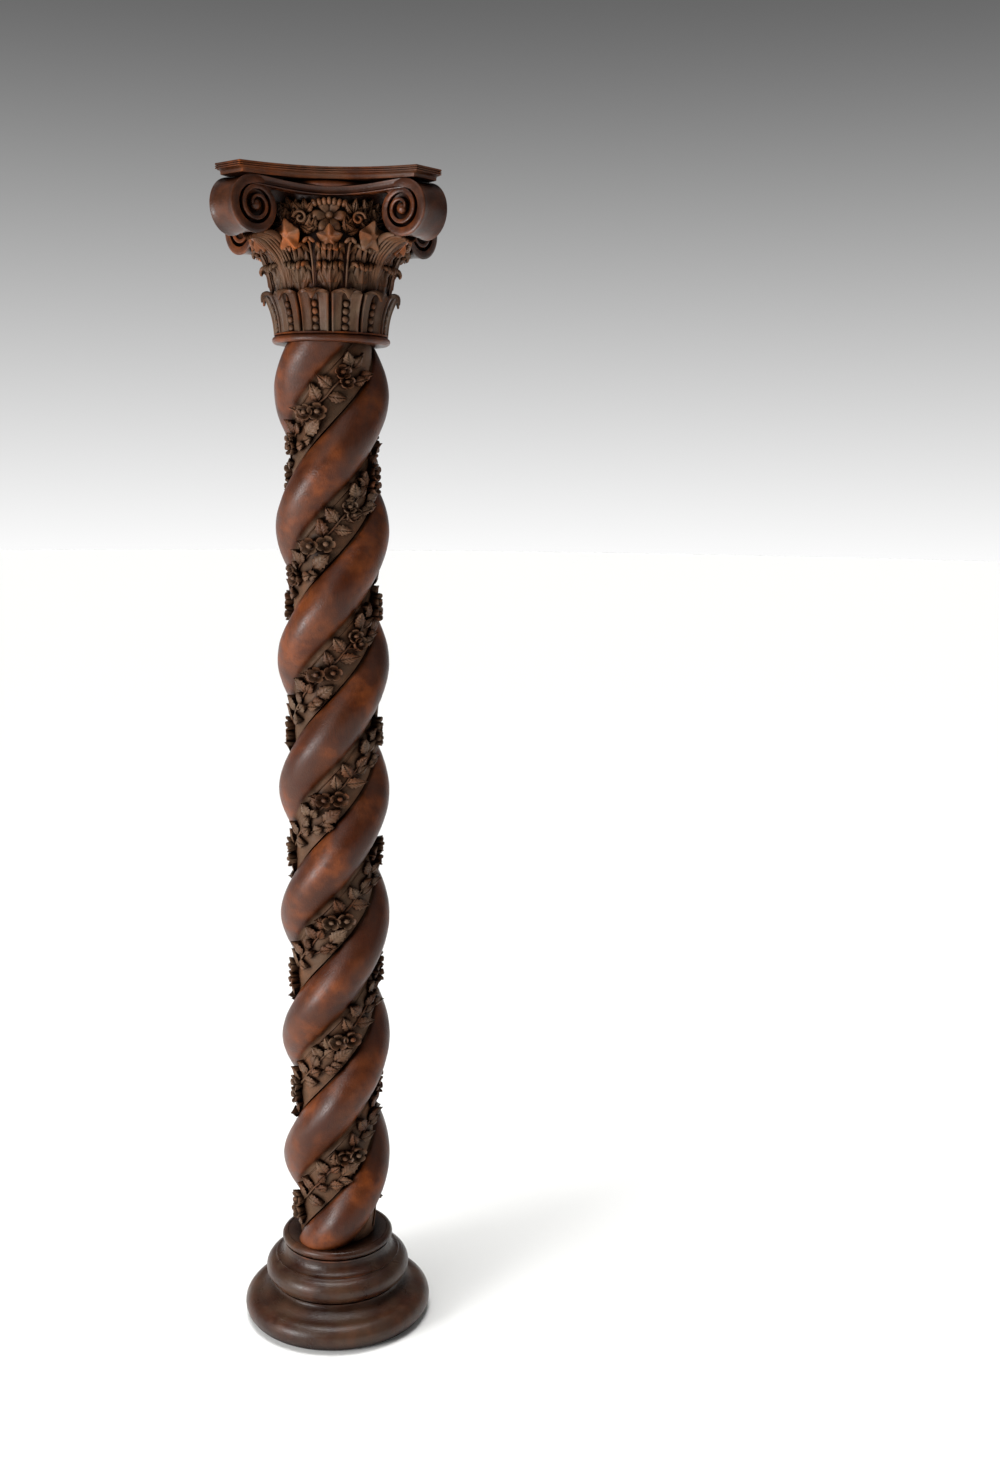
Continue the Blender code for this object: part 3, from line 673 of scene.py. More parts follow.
@dataclass(frozen=True)
class StandingLeaf:
    """A carved leaf that stands on the bell and leans out, with lobes along its top edge.

    Attributes:
        spine: stations (reach, height) of its middle line, from foot to tip.
        widths: its half width at places spread evenly along the spine.
        lobes: lobes along its top edge.
        notch: how deep the top edge is cut between lobes, as a share of the spine.
        droop: how much shorter its sides are than its middle.
        flute: metres between the height of a lobe and of the groove beside it.
        fold: metres that its edges fold back.
        midrib, midrib_width: metres that the midrib stands up, and half its width.
        eye, eye_place, eye_length: the drilled eyes' depth in metres, and their place and length as shares.
        bays, bay_slant, bay_notch, bay_depth: how many bays it has on each side, how steeply they slant, and
            how deep they cut its edge and its face.
        bay_top: the share of its length above which it has no bays.
        crown_from, crown_rise: the share at which the flutes begin, and over which they get their depth.
        vein_share: half the number of drawn veins across it.
        thickness: metres from front to back at its foot.
        rows, per_lobe: the grid's rows, and its columns for each lobe.
    """

    spine: Line
    widths: Numbers
    lobes: int = 5
    notch: float = 0.26
    droop: float = 0.22
    flute: float = 0.0040
    fold: float = 0.004
    midrib: float = 0.0032
    midrib_width: float = 0.0022
    eye: float = 0.005
    eye_place: float = 0.66
    eye_length: float = 0.13
    bays: float = 3.0
    bay_slant: float = 1.5
    bay_notch: float = 0.16
    bay_depth: float = 0.0042
    bay_top: float = 0.86
    crown_from: float = 0.60
    crown_rise: float = 0.18
    vein_share: float = 0.55
    thickness: float = 0.009
    rows: int = 22
    per_lobe: int = 7

    def add_to(self, carving: Carving, angle: float, wear: float = 0.0) -> None:
        """Adds the leaf at an angle round the axis.

        Each column follows the spine up to its own end: 1 less a droop times the square of its place
        across, less a notch between lobes. The front stands off the spine by flutes near its top, a midrib
        and a fold back towards its edges. Bays slant up from the midrib and cut its edges into side lobes,
        and a drilled eye sinks it at the foot of each notch.

        Args:
            carving: the piece that takes it.
            angle: where its middle stands, in radians.
            wear: how far its stain is rubbed off.
        """
        across = np.linspace(-1, 1, self.lobes * self.per_lobe + 1)[None]
        along = np.linspace(0, 1, self.rows)[:, None]
        lobe = np.abs(np.cos(math.pi * self.lobes * across / 2)) ** 0.6
        share = along * (1 - self.droop * across**2 - self.notch * (1 - lobe))
        bay = 1 - np.abs(np.cos(math.pi * (self.bays * along - self.bay_slant * np.abs(across)))) ** 0.7
        at_edge = np.abs(across) ** 0.5 * np.clip((self.bay_top - along) / 0.1, 0, 1)
        half = curve_through(self.widths, share)[..., 0] * (1 - self.bay_notch * bay * at_edge)
        opened = np.clip((along - self.crown_from) / self.crown_rise, 0, 1)
        lift = self.flute * (lobe - 0.5) * opened - self.fold * across**2 - self.bay_depth * bay * at_edge
        lift = lift + self.midrib * np.exp(-((across * half / self.midrib_width) ** 2)) * (1 - along**3)
        in_eye = np.exp(-(((along - self.eye_place) / self.eye_length) ** 2))
        lift = lift - self.eye * (1 - lobe) ** 2 * in_eye
        wall = self.thickness * np.sqrt(1 - 0.85 * along**4)
        fore, aft = off_spine(self.spine, share, lift), off_spine(self.spine, share, lift - wall)
        turn = angle + half * across / fore[..., 0]
        front, back = (round_axis(turn, line[..., 0], line[..., 1]) for line in (fore, aft))
        veins = np.stack(np.broadcast_arrays(across * self.vein_share, along), -1)
        carving.add_slab(front, back, veins, wear)


@dataclass(frozen=True)
class Petal:
    """A troughed petal on the neck ring, with an arched rim and a drooping tip over a string of beads.

    Attributes:
        spine: stations (reach, height) of its middle line, from foot to tip.
        half_span, fill: half the angle that it has round the axis, and the share of it that it fills.
        end, side_fall, tip, tip_half: the share of the spine that its columns reach, how much less at its
            sides and more at its tip, and the tip's half width.
        narrow_from, narrowing: where along the spine it draws in towards its tip, and by what share.
        rim, rim_place, rim_half: the rim's height, its place across and along, and its half width.
        dish, edge_drop: metres that its sides stand over its middle, and that its outermost edge falls back.
        niche, niche_half, niche_top: the depth of the beads' niche, its half width and its top.
        hood, hood_place, hood_half: the height of the hood over the niche, its place and its half width.
        thickness: metres from front to back at its foot.
        beads, bead_foot, bead_step: how many beads, and the spine's shares of the first and between two.
        bead, bead_taper: half a bead's size outwards, across and up, and how much smaller each next one is.
    """

    spine: Line
    half_span: float
    fill: float = 0.945
    end: float = 0.745
    side_fall: float = 0.20
    tip: float = 0.255
    tip_half: float = 0.30
    narrow_from: float = 0.66
    narrowing: float = 0.50
    rim: float = 0.0020
    rim_place: float = 0.87
    rim_half: float = 0.07
    dish: float = 0.0040
    edge_drop: float = 0.0040
    niche: float = 0.0042
    niche_half: float = 0.26
    niche_top: float = 0.60
    hood: float = 0.0030
    hood_place: float = 0.68
    hood_half: float = 0.07
    thickness: float = 0.0060
    beads: int = 4
    bead_foot: float = 0.055
    bead_step: float = 0.100
    bead: Numbers = (0.0050, 0.0064, 0.0060)
    bead_taper: float = 0.0004

    def add_to(self, carving: Carving, angle: float) -> None:
        """Adds the petal and its beads at an angle round the axis.

        Each column follows the spine up to its own end, which falls away to both sides, so that the middle
        alone goes round the curl. The front is dished, with a raised rim, a niche and a hood over it.

        Args:
            carving: the piece that takes it.
            angle: where its middle stands, in radians.
        """
        across = np.linspace(-1, 1, 33)[None]
        along = np.linspace(0, 1, 30)[:, None]
        at_tip = np.exp(-((across / self.tip_half) ** 2))
        share = along * (self.end - self.side_fall * np.abs(across) ** 4 + self.tip * at_tip)
        reach = curve_through(self.spine, share)[..., 0]
        drawn_in = np.clip((share - self.narrow_from) / (1 - self.narrow_from), 0, 1) ** 1.6
        turn = angle + self.half_span * self.fill * (1 - self.narrowing * drawn_in) * across
        edge = np.maximum(np.abs(across), 1 - (1 - along) * 3.2 * (np.abs(across) > self.tip_half))
        rim = np.exp(-(((edge - self.rim_place) / self.rim_half) ** 2))
        niche = np.exp(-((across / self.niche_half) ** 6)) * np.clip((self.niche_top - along) / 0.04, 0, 1)
        hood = at_tip * np.exp(-(((along - self.hood_place) / self.hood_half) ** 2))
        lift = self.rim * rim + self.dish * across**2 - self.niche * niche + self.hood * hood
        lift = lift - self.edge_drop * (np.abs(across) > 0.96)
        wall = self.thickness * np.sqrt(1 - 0.7 * along**4)
        skins = (off_spine(self.spine, share, height) for height in (lift, lift - wall))
        carving.add_slab(*(round_axis(turn, skin[..., 0], skin[..., 1]) for skin in skins))
        for k in range(self.beads):
            foot, height = curve_through(self.spine, np.array(self.bead_foot + self.bead_step * k))
            deep, wide, tall = self.bead
            out, side, up = np.moveaxis(ball((deep, wide - self.bead_taper * k, tall)), -1, 0)
            carving.add_shell(round_axis(angle + side / foot, foot - 0.0015 + out, height + up))


@dataclass
class TurnedBase:
    """The turned base: a seat, a top roll, a neck, a broad middle roll, a cove and the foot roll."""

    height: float = 0.162
    seat_reach: float = 0.090
    foot_reach: float = 0.150
    foot_roll: float = 0.0245
    sides: int = 192

    def profile(self) -> np.ndarray:
        """The outline from the seat's middle down to the underside's middle, with its rolls as arcs.

        Returns:
            Points (reach, height).
        """
        top = self.height
        line = [(0.004, top), (self.seat_reach, top), (0.0925, top), (0.0932, top - 0.0010), (0.0939, top)]
        line += [(0.0962, top - 0.0002)] + arc((0.0957, 0.1537), 0.0080, 78, -78, 12)
        line += [(0.0968, 0.1456), (0.0966, 0.1446), (0.1000, 0.1442), (0.1002, 0.1412), (0.0976, 0.1406)]
        line += [(0.0984, 0.1340), (0.1005, 0.1286), (0.1035, 0.1240), (0.1080, 0.1206), (0.1120, 0.1192)]
        line += [(0.1150, 0.1189), (0.1148, 0.1168), (0.1160, 0.1158)]
        line += arc((0.1111, 0.0928), 0.0232, 77, -74, 24)
        line += [(0.1170, 0.0700), (0.1166, 0.0690), (0.1200, 0.0684), (0.1204, 0.0656), (0.1222, 0.0630)]
        line += [(0.1262, 0.0598), (0.1318, 0.0562), (0.1385, 0.0524), (0.1450, 0.0497)]
        line += arc((self.foot_reach, self.foot_roll), self.foot_roll, 88, -90, 24)
        return np.array(line + [(0.004, 0.0)])

    def build(self, finish: bpy.types.Material) -> None:
        """Turns the outline once round the axis: reach and height from the row, angle from the column.

        Args:
            finish: the base's material.
        """
        line = self.profile()
        angle = np.linspace(0, 2 * math.pi, self.sides, endpoint=False)[None]
        carving = Carving("base_turning")
        carving.add_shell(round_axis(angle, line[:, :1], line[:, 1:]))
        carving.build(finish, "base_wood", "turned_base", 40.0)


@dataclass
class TwistedShaft:
    """Two round strands wound round a core, whose surface shows as the floor of two hollows.

    Attributes:
        foot, length, turns: the height of its foot, its length, and the whole turns of a strand.
        start: the angle of the first crest at the foot.
        strand_centre, strand_round: a strand's distance from the axis, and its radius.
        floor: the reach of the hollows' floor.
        rows: sections from foot to top.
        taper, taper_length: the share by which the strands draw in at the foot, and over what length.
    """

    foot: float = 0.1623
    length: float = 1.636
    turns: float = 3.5
    start: float = math.radians(63.3)
    strand_centre: float = 0.045
    strand_round: float = 0.055
    floor: float = 0.069
    rows: int = 640
    taper: float = 0.05
    taper_length: float = 0.060

    @property
    def pitch(self) -> float:
        """The rise of one whole turn."""
        return self.length / self.turns

    @property
    def turn_length(self) -> float:
        """The length of one turn of a hollow's middle line."""
        return math.hypot(2 * math.pi * self.floor, self.pitch)

    @property
    def climb(self) -> float:
        """The angle at which a hollow's middle line climbs."""
        return math.atan2(self.pitch, 2 * math.pi * self.floor)

    def section(self) -> tuple[np.ndarray, np.ndarray]:
        """The outline across the axis.

        A strand is a circle about a centre off the axis. Its lower side ends in a soft cove and a thin
        arris, and the next strand rises from the floor over a narrow quirk.

        Returns:
            Angles from the first crest, and reaches.
        """
        lobe = np.radians(np.linspace(-46.6, 44.0, 31))
        off = self.strand_centre * np.sin(lobe)
        reach = self.strand_centre * np.cos(lobe) + np.sqrt(self.strand_round**2 - off**2)
        cove = [46.0, 48.0, 50.0, 52.0, 54.0, 55.8, 57.2, 58.2, 58.9, 59.8, 61.0]
        cove_reach = [0.0752, 0.0728, 0.0708, 0.0693, 0.0684, 0.0681, 0.0684, 0.0693, 0.0697, 0.0692, 0.0685]
        ground = np.radians(np.linspace(63, 125, 15))
        ground_reach = self.floor - 0.0006 + 0.0012 * np.sin(ground) ** 4
        quirk = [126.6, 127.6, 128.6, 129.6, 130.6, 131.4, 132.4]
        quirk_reach = [0.0686, 0.0693, 0.0694, 0.0680, 0.0654, 0.0668, 0.0722]
        half_angle = np.concatenate([lobe, np.radians(cove), ground, np.radians(quirk)])
        half_reach = np.concatenate([reach, cove_reach, ground_reach, quirk_reach])
        return np.concatenate([half_angle, half_angle + math.pi]), np.tile(half_reach, 2)

    def build_core(self, finish: bpy.types.Material) -> None:
        """Carries the outline up the axis while it turns, with the small wobble of hand work.

        Args:
            finish: the strands' material.
        """
        angle, reach = self.section()
        rise = np.linspace(0, self.length, self.rows)[:, None]
        turn = self.start + angle[None] + 2 * math.pi * rise / self.pitch
        near_foot = np.clip(1 - rise / self.taper_length, 0, 1) ** 2
        spread = reach[None] * (1 - self.taper * near_foot * (reach[None] > self.floor + 0.002))
        smooth = round_axis(turn, spread, self.foot + rise)
        on_floor = (np.abs(np.cos(angle)) < 0.6)[None]
        wobble = 0.0005 * lattice_noise(smooth, 0.030, 3) - 0.0005
        chisel = 0.0006 * lattice_noise(smooth, 0.007, 4)
        carving = Carving("shaft_twist")
        carving.add_shell(round_axis(turn, spread + np.where(on_floor, chisel, wobble), self.foot + rise))
        carving.build(finish, "shaft_wood", "twisted_shaft", 40.0)

    def in_hollow(self, hollow: int, along: float, across: float, turn: float = 0.0) -> Place:
        """A function that lays flat points, with +Z outwards, on the floor of a hollow.

        The floor unrolls to a flat strip. A point so far along and across it is turned back to an angle
        round the axis and a height by the climb of the hollow's middle line.

        Args:
            hollow: 0 or 1.
            along: metres up the hollow's middle line.
            across: metres to its upper side.
            turn: the angle by which the points are turned first.

        Returns:
            The function, from flat points to points on the work.
        """

        def place(points: np.ndarray) -> np.ndarray:
            """Flat points to points on the work.

            Args:
                points: x along the hollow, y across it and z outwards, in the last axis.

            Returns:
                As many points on the shaft.
            """
            flat = turned(points, turn)
            x, y = along + flat[..., 0], across + flat[..., 1]
            arc_length = x * math.cos(self.climb) - y * math.sin(self.climb)
            angle = self.start + (hollow + 0.5) * math.pi + arc_length / self.floor
            height = self.foot + x * math.sin(self.climb) + y * math.cos(self.climb)
            return round_axis(angle, self.floor + points[..., 2], height)

        return place


@dataclass
class Vine:
    """The flowering stem in each hollow: one spray of leaves and flowers, carved again with small changes.

    A leaf of the spray is (along, across, turn, length, width) in millimetres and degrees, from its foot,
    where along is measured up the hollow from the pair of flowers and across to the hollow's upper side.

    Attributes:
        shaft: the shaft whose hollows it fills.
        step_turn, first_turn: turns of the shaft from one spray to the next, and up to the second.
        singles_from, single_size: turns above which a spray has single flowers too, and their size.
        flower_radius, flower_height: a flower's radius and height.
        pair, upright_pair, singles: places (along, across) of the flowers, in millimetres.
        leaves, stem, branch: the leaves, and stations of the stem and of its branch, in millimetres.
        stem_radius, branch_radius: their radii.
        seed: the seed of the small changes.
    """

    shaft: TwistedShaft
    step_turn: float = 0.2395
    first_turn: float = 0.14
    singles_from: float = 2.2
    single_size: float = 0.86
    flower_radius: float = 0.0145
    flower_height: float = 0.0240
    pair: Line = ((-8.6, 7.6), (8.6, -7.6))
    upright_pair: Line = ((-9.0, -8.0), (9.0, 8.0))
    singles: Line = ((76.0, -6.5), (81.0, 9.0))
    leaves: Line = (
        (17, 3, 57, 30, 17), (34, 0, -46, 30, 17), (50, 4, 80, 28, 19), (62, -6, -12, 22, 15),
        (70, 4, 12, 25, 17), (98, 6, 62, 27, 19), (86, -15, -34, 21, 15), (100, -18, -38, 22, 17),
        (112, -17, -6, 36, 21), (124, 3, 52, 29, 18), (104, 2, 8, 22, 14), (140, 9, 118, 20, 13),
    )
    stem: Line = ((0, 0), (18, 2), (36, 1), (55, 3), (78, 2), (100, 5), (126, 2))
    branch: Line = ((58, 1), (72, -9), (88, -16), (102, -18), (118, -17))
    stem_radius: float = 0.0021
    branch_radius: float = 0.0016
    seed: int = 11

    @property
    def whole(self) -> float:
        """The length of a hollow from end to end."""
        return self.shaft.turn_length * self.shaft.turns

    def build(self, finish: bpy.types.Material) -> None:
        """Carves the spray up both hollows from seeded draws, so that no two are alike.

        Args:
            finish: the vine's material.
        """
        rng = np.random.default_rng(self.seed)
        carving = Carving("shaft_vine")
        for hollow in (0, 1):
            starts = (self.first_turn + self.step_turn * np.arange(-1, 15)) * self.shaft.turn_length
            self.add_stem(carving, hollow, starts)
            for k, start in enumerate(starts):
                self.add_spray(carving, rng, hollow, float(start), self.upright_pair if k % 2 else self.pair)
        carving.build(finish, "shaft_wood", "twisted_shaft", 55.0)

    def add_stem(self, carving: Carving, hollow: int, starts: np.ndarray) -> None:
        """Adds the long stem through all the sprays, and one branch in each, kept on the shaft.

        Args:
            carving: the piece that takes them.
            hollow: 0 or 1.
            starts: metres up the hollow at which the sprays start.
        """
        stations = np.concatenate([np.array(self.stem) / 1000 + (start, 0) for start in starts])
        flat = curve_through(stations, np.linspace(0, 1, 700))
        flat = flat[(flat[:, 0] > 0.012) & (flat[:, 0] < self.whole - 0.020)]
        stalks = [(flat, self.stem_radius)]
        for start in starts[1:-2]:
            stations = np.array(self.branch) / 1000 + (start, 0)
            stalks.append((curve_through(stations, np.linspace(0, 1, 20)), self.branch_radius))
        for flat, radius in stalks:
            path = np.column_stack([flat, np.full(len(flat), STALK_LIFT)])
            carving.add_shell(tube(self.shaft.in_hollow(hollow, 0.0, 0.0)(path), radius, 7), None, 0.12)

    def add_spray(
        self, carving: Carving, rng: np.random.Generator, hollow: int, start: float, pair: Line
    ) -> None:
        """Adds one spray's flowers and leaves, where they are clear of the shaft's ends.

        Args:
            carving: the piece that takes them.
            rng: the source of the small changes.
            hollow: 0 or 1.
            start: metres up the hollow at which the spray starts.
            pair: places (along, across) of its two flowers, in millimetres.
        """
        spots = [(place, 1.0) for place in pair]
        if start > self.singles_from * self.shaft.turn_length:
            spots += [(place, self.single_size) for place in self.singles]
        for (along, across), size in spots:
            along = start + along / 1000 + rng.uniform(-0.002, 0.002)
            if not 0.030 < along < self.whole - 0.030:
                continue
            radius = self.flower_radius * size * rng.uniform(0.94, 1.06)
            flower = Flower(radius, self.flower_height * size * rng.uniform(0.84, 1.0))
            place = self.shaft.in_hollow(hollow, along, across / 1000 + rng.uniform(-0.001, 0.001))
            carving.add_shell(flower.shell(place, rng.uniform(0, 1.2)))
        for along, across, turn, length, width in self.leaves:
            along = start + (along + rng.uniform(-3, 3)) / 1000
            if not 0.040 < along < self.whole - 0.050:
                continue
            size = rng.uniform(0.98, 1.20) / 1000
            across = (across + rng.uniform(-2, 2)) / 1000
            place = self.shaft.in_hollow(hollow, along, across, math.radians(turn + rng.uniform(-12, 12)))
            rise, curl = rng.uniform(0.0055, 0.0090), rng.uniform(0.001, 0.010)
            grid, veins = toothed_leaf(length * size, width * size, rise, curl)
            carving.add_shell(self.kept_inside(place(grid)), veins)

    def kept_inside(self, grid: np.ndarray) -> np.ndarray:
        """A leaf's points, held between the shaft's two ends."""
        low, high = self.shaft.foot + 0.001, self.shaft.foot + self.shaft.length - 0.001
        return np.concatenate([grid[..., :2], np.clip(grid[..., 2:], low, high)], -1)


@dataclass
class Capital:
    """The carved capital: neck ring, bell, petals, two rows of leaves, scrolls, bands and flowers.

    Attributes:
        foot, top, ring_top: heights of its foot, of its top and of the neck ring's top.
        petals, buds: petals round the ring, and buds over a face's flower.
        scroll_reach, scroll_radius: a scroll's outermost reach along its diagonal, and its radius.
        scroll_half_edge, scroll_splay: half its thickness at that reach, and the splay of its faces.
        scroll_turns, radii, straps: its turns, and its strap's outer radius and thickness along them.
        eye_shift: how far its middle moves in towards the bell.
        web_sunk, dish_rim, dish_middle: how far the web and the dish in it lie under its faces.
        dish_quarter, dish_inset: the quarter turn whose radius holds the dish, and the gap inside it.
        band_height, band_drop, band_reach: a band's height, its sag, and the reach of its middle.
        bell_reach, flower_height: the reach at which the sprays start, and the height of a face's flower.
    """

    foot: float = 1.7986
    top: float = 2.0522
    ring_top: float = 1.8156
    petals: int = 12
    buds: int = 7
    scroll_reach: float = 0.2441
    scroll_radius: float = 0.0465
    scroll_half_edge: float = 0.0280
    scroll_splay: float = math.radians(6)
    scroll_turns: float = 2.25
    radii: Numbers = (0.0465, 0.0460, 0.0442, 0.0400, 0.0325, 0.0272, 0.0245, 0.0215, 0.0165, 0.0115)
    straps: Numbers = (0.0150, 0.0145, 0.0138, 0.0110, 0.0085, 0.0072, 0.0066, 0.0060, 0.0052, 0.0045)
    eye_shift: float = 0.0050
    web_sunk: float = 0.0150
    dish_quarter: int = 5
    dish_inset: float = 0.004
    dish_rim: float = 0.0050
    dish_middle: float = 0.0120
    band_height: float = 0.0142
    band_drop: float = 0.0108
    band_reach: float = 0.130
    bell_reach: float = 0.125
    flower_height: float = 1.9967

    def over_ring(self, *stations: tuple[float, float]) -> Line:
        """Stations (reach, height over the ring) as reaches and heights over the floor."""
        return tuple((reach, self.ring_top + rise) for reach, rise in stations)

    def build_bell(self, finish: bpy.types.Material) -> None:
        """Turns the neck ring, the flaring bell and its lip: reach and height once round the axis.

        Args:
            finish: the material of the ring and the bell.
        """
        line = [(0.004, self.foot), (0.0930, self.foot)]
        line += arc((0.0955, self.foot + 0.0062), 0.0062, -90, 64, 10)
        line += [(0.0972, self.foot + 0.0122), (0.0966, self.foot + 0.0130), (0.0984, self.foot + 0.0140)]
        line += [(0.0978, self.foot + 0.0164), (0.0930, self.ring_top + 0.001)]
        share = np.linspace(0, 1, 14)
        line += list(zip(0.087 + 0.032 * share**1.15, self.ring_top + 0.004 + 0.200 * share))
        line += arc((0.1262, self.top - 0.0066), 0.0060, -85, 75, 8) + [(0.1195, self.top), (0.004, self.top)]
        line = np.array(line)
        angle = np.linspace(0, 2 * math.pi, 144, endpoint=False)[None]
        carving = Carving("capital_bell")
        carving.add_shell(round_axis(angle, line[:, :1], line[:, 1:]))
        carving.build(finish, "capital_wood", "carved_capital", 40.0)

    def build_petals(self, finish: bpy.types.Material) -> None:
        """Stands the lowest row on the ring: one petal after another, once round.

        Args:
            finish: the petals' material.
        """
        spine = self.over_ring((0.0930, -0.002), (0.0952, 0.018), (0.0992, 0.036), (0.1052, 0.052),
                               (0.1103, 0.0615), (0.1146, 0.0635), (0.1178, 0.0590), (0.1188, 0.0495))
        carving = Carving("capital_petals")
        petal = Petal(spine, math.pi / self.petals)
        for k in range(self.petals):
            petal.add_to(carving, (2 * k + 1) * math.pi / self.petals)
        carving.build(finish, "capital_wood", "carved_capital", 50.0)

    def build_leaves(self, finish: bpy.types.Material) -> None:
        """Stands two tiers of lobed leaves and a smooth star all round, with stems between and corner fans.

        Args:
            finish: the leaves' material.
        """
        tiers = (
            StandingLeaf(
                self.over_ring((0.0975, 0.048), (0.1010, 0.068), (0.1045, 0.084), (0.1085, 0.0970),
                               (0.1138, 0.1030), (0.1175, 0.1010), (0.1188, 0.0960)),
                (0.0140, 0.0190, 0.0225, 0.0240, 0.0235, 0.0210, 0.0180),
            ),
            StandingLeaf(
                self.over_ring((0.1040, 0.078), (0.1075, 0.098), (0.1122, 0.112), (0.1180, 0.1250),
                               (0.1250, 0.1315), (0.1298, 0.1295), (0.1312, 0.1240)),
                (0.0150, 0.0200, 0.0235, 0.0255, 0.0250, 0.0220, 0.0190),
            ),
        )
        carving = Carving("capital_leaves")
        star = Flower(0.0225, 0.0080, notch=0.31, bud=0.20, sink=0.010, sides=50, bloom=Bloom.POINTED)
        side_star = Flower(0.0255, 0.0090, notch=0.23, bud=0.20, sink=0.010, sides=50, bloom=Bloom.POINTED)
        for k in range(self.petals):
            angle = -QUARTER + k * 2 * math.pi / self.petals
            for leaf in tiers:
                leaf.add_to(carving, angle)
            flower, rise, reach = (star, 0.1440, 0.1280) if k % 3 == 0 else (side_star, 0.1480, 0.1362)
            place = self.on_face(angle, 0.0, self.ring_top + rise, reach, 0.0, 0.30)
            carving.add_shell(flower.shell(place, QUARTER), None, (0.45, 0.35, 0.80)[k % 3])
        fan = StandingLeaf(
            self.over_ring((0.1000, 0.046), (0.1045, 0.074), (0.1130, 0.100), (0.1290, 0.124),
                           (0.1530, 0.1410), (0.1750, 0.1460), (0.1870, 0.1400)),
            (0.0100, 0.0150, 0.0205, 0.0260, 0.0300, 0.0290, 0.0190),
            lobes=9, notch=0.20, droop=0.20, flute=0.0050, fold=0.006, midrib=0.0030, eye=0.003,
            bays=4.0, bay_slant=1.1, bay_notch=0.10, bay_depth=0.002, crown_from=0.41,
            vein_share=1.3, thickness=0.012, rows=34, per_lobe=6,
        )
        for k in range(CORNERS):
            fan.add_to(carving, math.pi / 4 + k * QUARTER, 0.15)
        self.add_stems(carving)
        carving.build(finish, "capital_wood", "carved_capital", 55.0)

    def add_stems(self, carving: Carving) -> None:
        """Adds the thin upright stems beside each face's middle leaf, each with a curled bud on its top.

        Args:
            carving: the piece that takes them.
        """
        line = self.over_ring((0.0995, 0.060), (0.106, 0.090), (0.113, 0.115), (0.124, 0.134), (0.133, 0.140))
        path = curve_through(line, np.linspace(0, 1, 16))
        for k in range(self.petals):
            angle = -QUARTER + (k + 0.5) * 2 * math.pi / self.petals
            at_corner = abs(math.cos(2 * angle)) < 0.1
            if at_corner:
                continue
            stem = tube(round_axis(angle, path[:, 0], path[:, 1]), np.linspace(0.0016, 0.0024, 16))
            carving.add_shell(stem, None, 0.10)
            for side in (-1, 1):
                place = self.on_face(angle, side * 0.0050, self.ring_top + 0.1415, 0.1330, side * 0.9, 0.3)
                carving.add_shell(place(ball((0.0034, 0.0068, 0.0042))), None, 0.2)

    def half_width(self, reach: np.ndarray | float) -> np.ndarray | float:
        """Half the scroll's thickness at a reach along its diagonal: it splays apart towards the bell."""
        return self.scroll_half_edge + (self.scroll_reach - reach) * math.tan(self.scroll_splay)

    def scroll_grid(self) -> np.ndarray:
        """The strap of a scroll that lies along +X.

        It is a ribbon on a spiral: a smooth line through the radii, one each quarter turn, gives its
        distance from a middle that moves in towards the bell. Its section has a rounded rim at each side
        with a shallow hollow between. Each section point has a share across the width and a depth under the
        spiral.

        Returns:
            Rows along the spiral x points round the section x 3.
        """
        along = np.linspace(-0.06, 1, 120)[:, None]
        wound = np.clip(along, 0, 1)
        turn = 2 * math.pi * self.scroll_turns * along
        outer = np.array([-1, -0.99, -0.95, -0.88, -0.78, -0.55, -0.28])
        sunk = np.array([0.34, 0.12, 0.01, 0.01, 0.10, 0.17, 0.20])
        across = np.concatenate([outer, [0], -outer[::-1], [1, 0.97, 0.5, -0.5, -0.97, -1]])[None]
        sunk = np.concatenate([sunk, [0.21], sunk[::-1], [0.78, 1.0, 1.0, 1.0, 1.0, 0.78]])[None]
        spread = curve_through(self.radii, wound[:, 0]) - curve_through(self.straps, wound[:, 0]) * sunk
        reach = self.scroll_reach - self.scroll_radius - self.eye_shift * wound + spread * np.sin(turn)
        height = self.top - self.scroll_radius - 0.0002 + spread * np.cos(turn)
        return np.stack([reach, across * self.half_width(reach), height], -1)

    def build_scrolls(self, finish: bpy.types.Material) -> None:
        """Puts a scroll at each corner, its web and eyes inside it, and a band across each face.

        Args:
            finish: the scrolls' material.
        """
        carving = Carving("capital_scrolls")
        strap, band = self.scroll_grid(), self.band_grid()
        centre = self.scroll_reach - self.scroll_radius
        eye = centre - self.eye_shift
        webs = [self.web_grid(centre, self.scroll_radius - self.straps[0] / 2, self.web_sunk, self.web_sunk)]
        dish_radius = self.radii[self.dish_quarter] - self.dish_inset
        webs += [self.web_grid(eye + 0.0015, dish_radius, self.dish_rim, self.dish_middle)]
        for k in range(CORNERS):
            turn = math.pi / 4 + k * QUARTER
            for skin in (strap, *webs):
                carving.add_shell(turned(skin, turn))
            for side in (-1, 1):
                spot = (eye, side * (self.half_width(eye) - 0.0080), self.top - self.scroll_radius)
                carving.add_shell(turned(ball((0.0100, 0.0085, 0.0100), 9, 16) + spot, turn), None, 0.35)
            carving.add_shell(turned(band, k * QUARTER))
        carving.build(finish, "capital_wood", "carved_capital", 45.0)

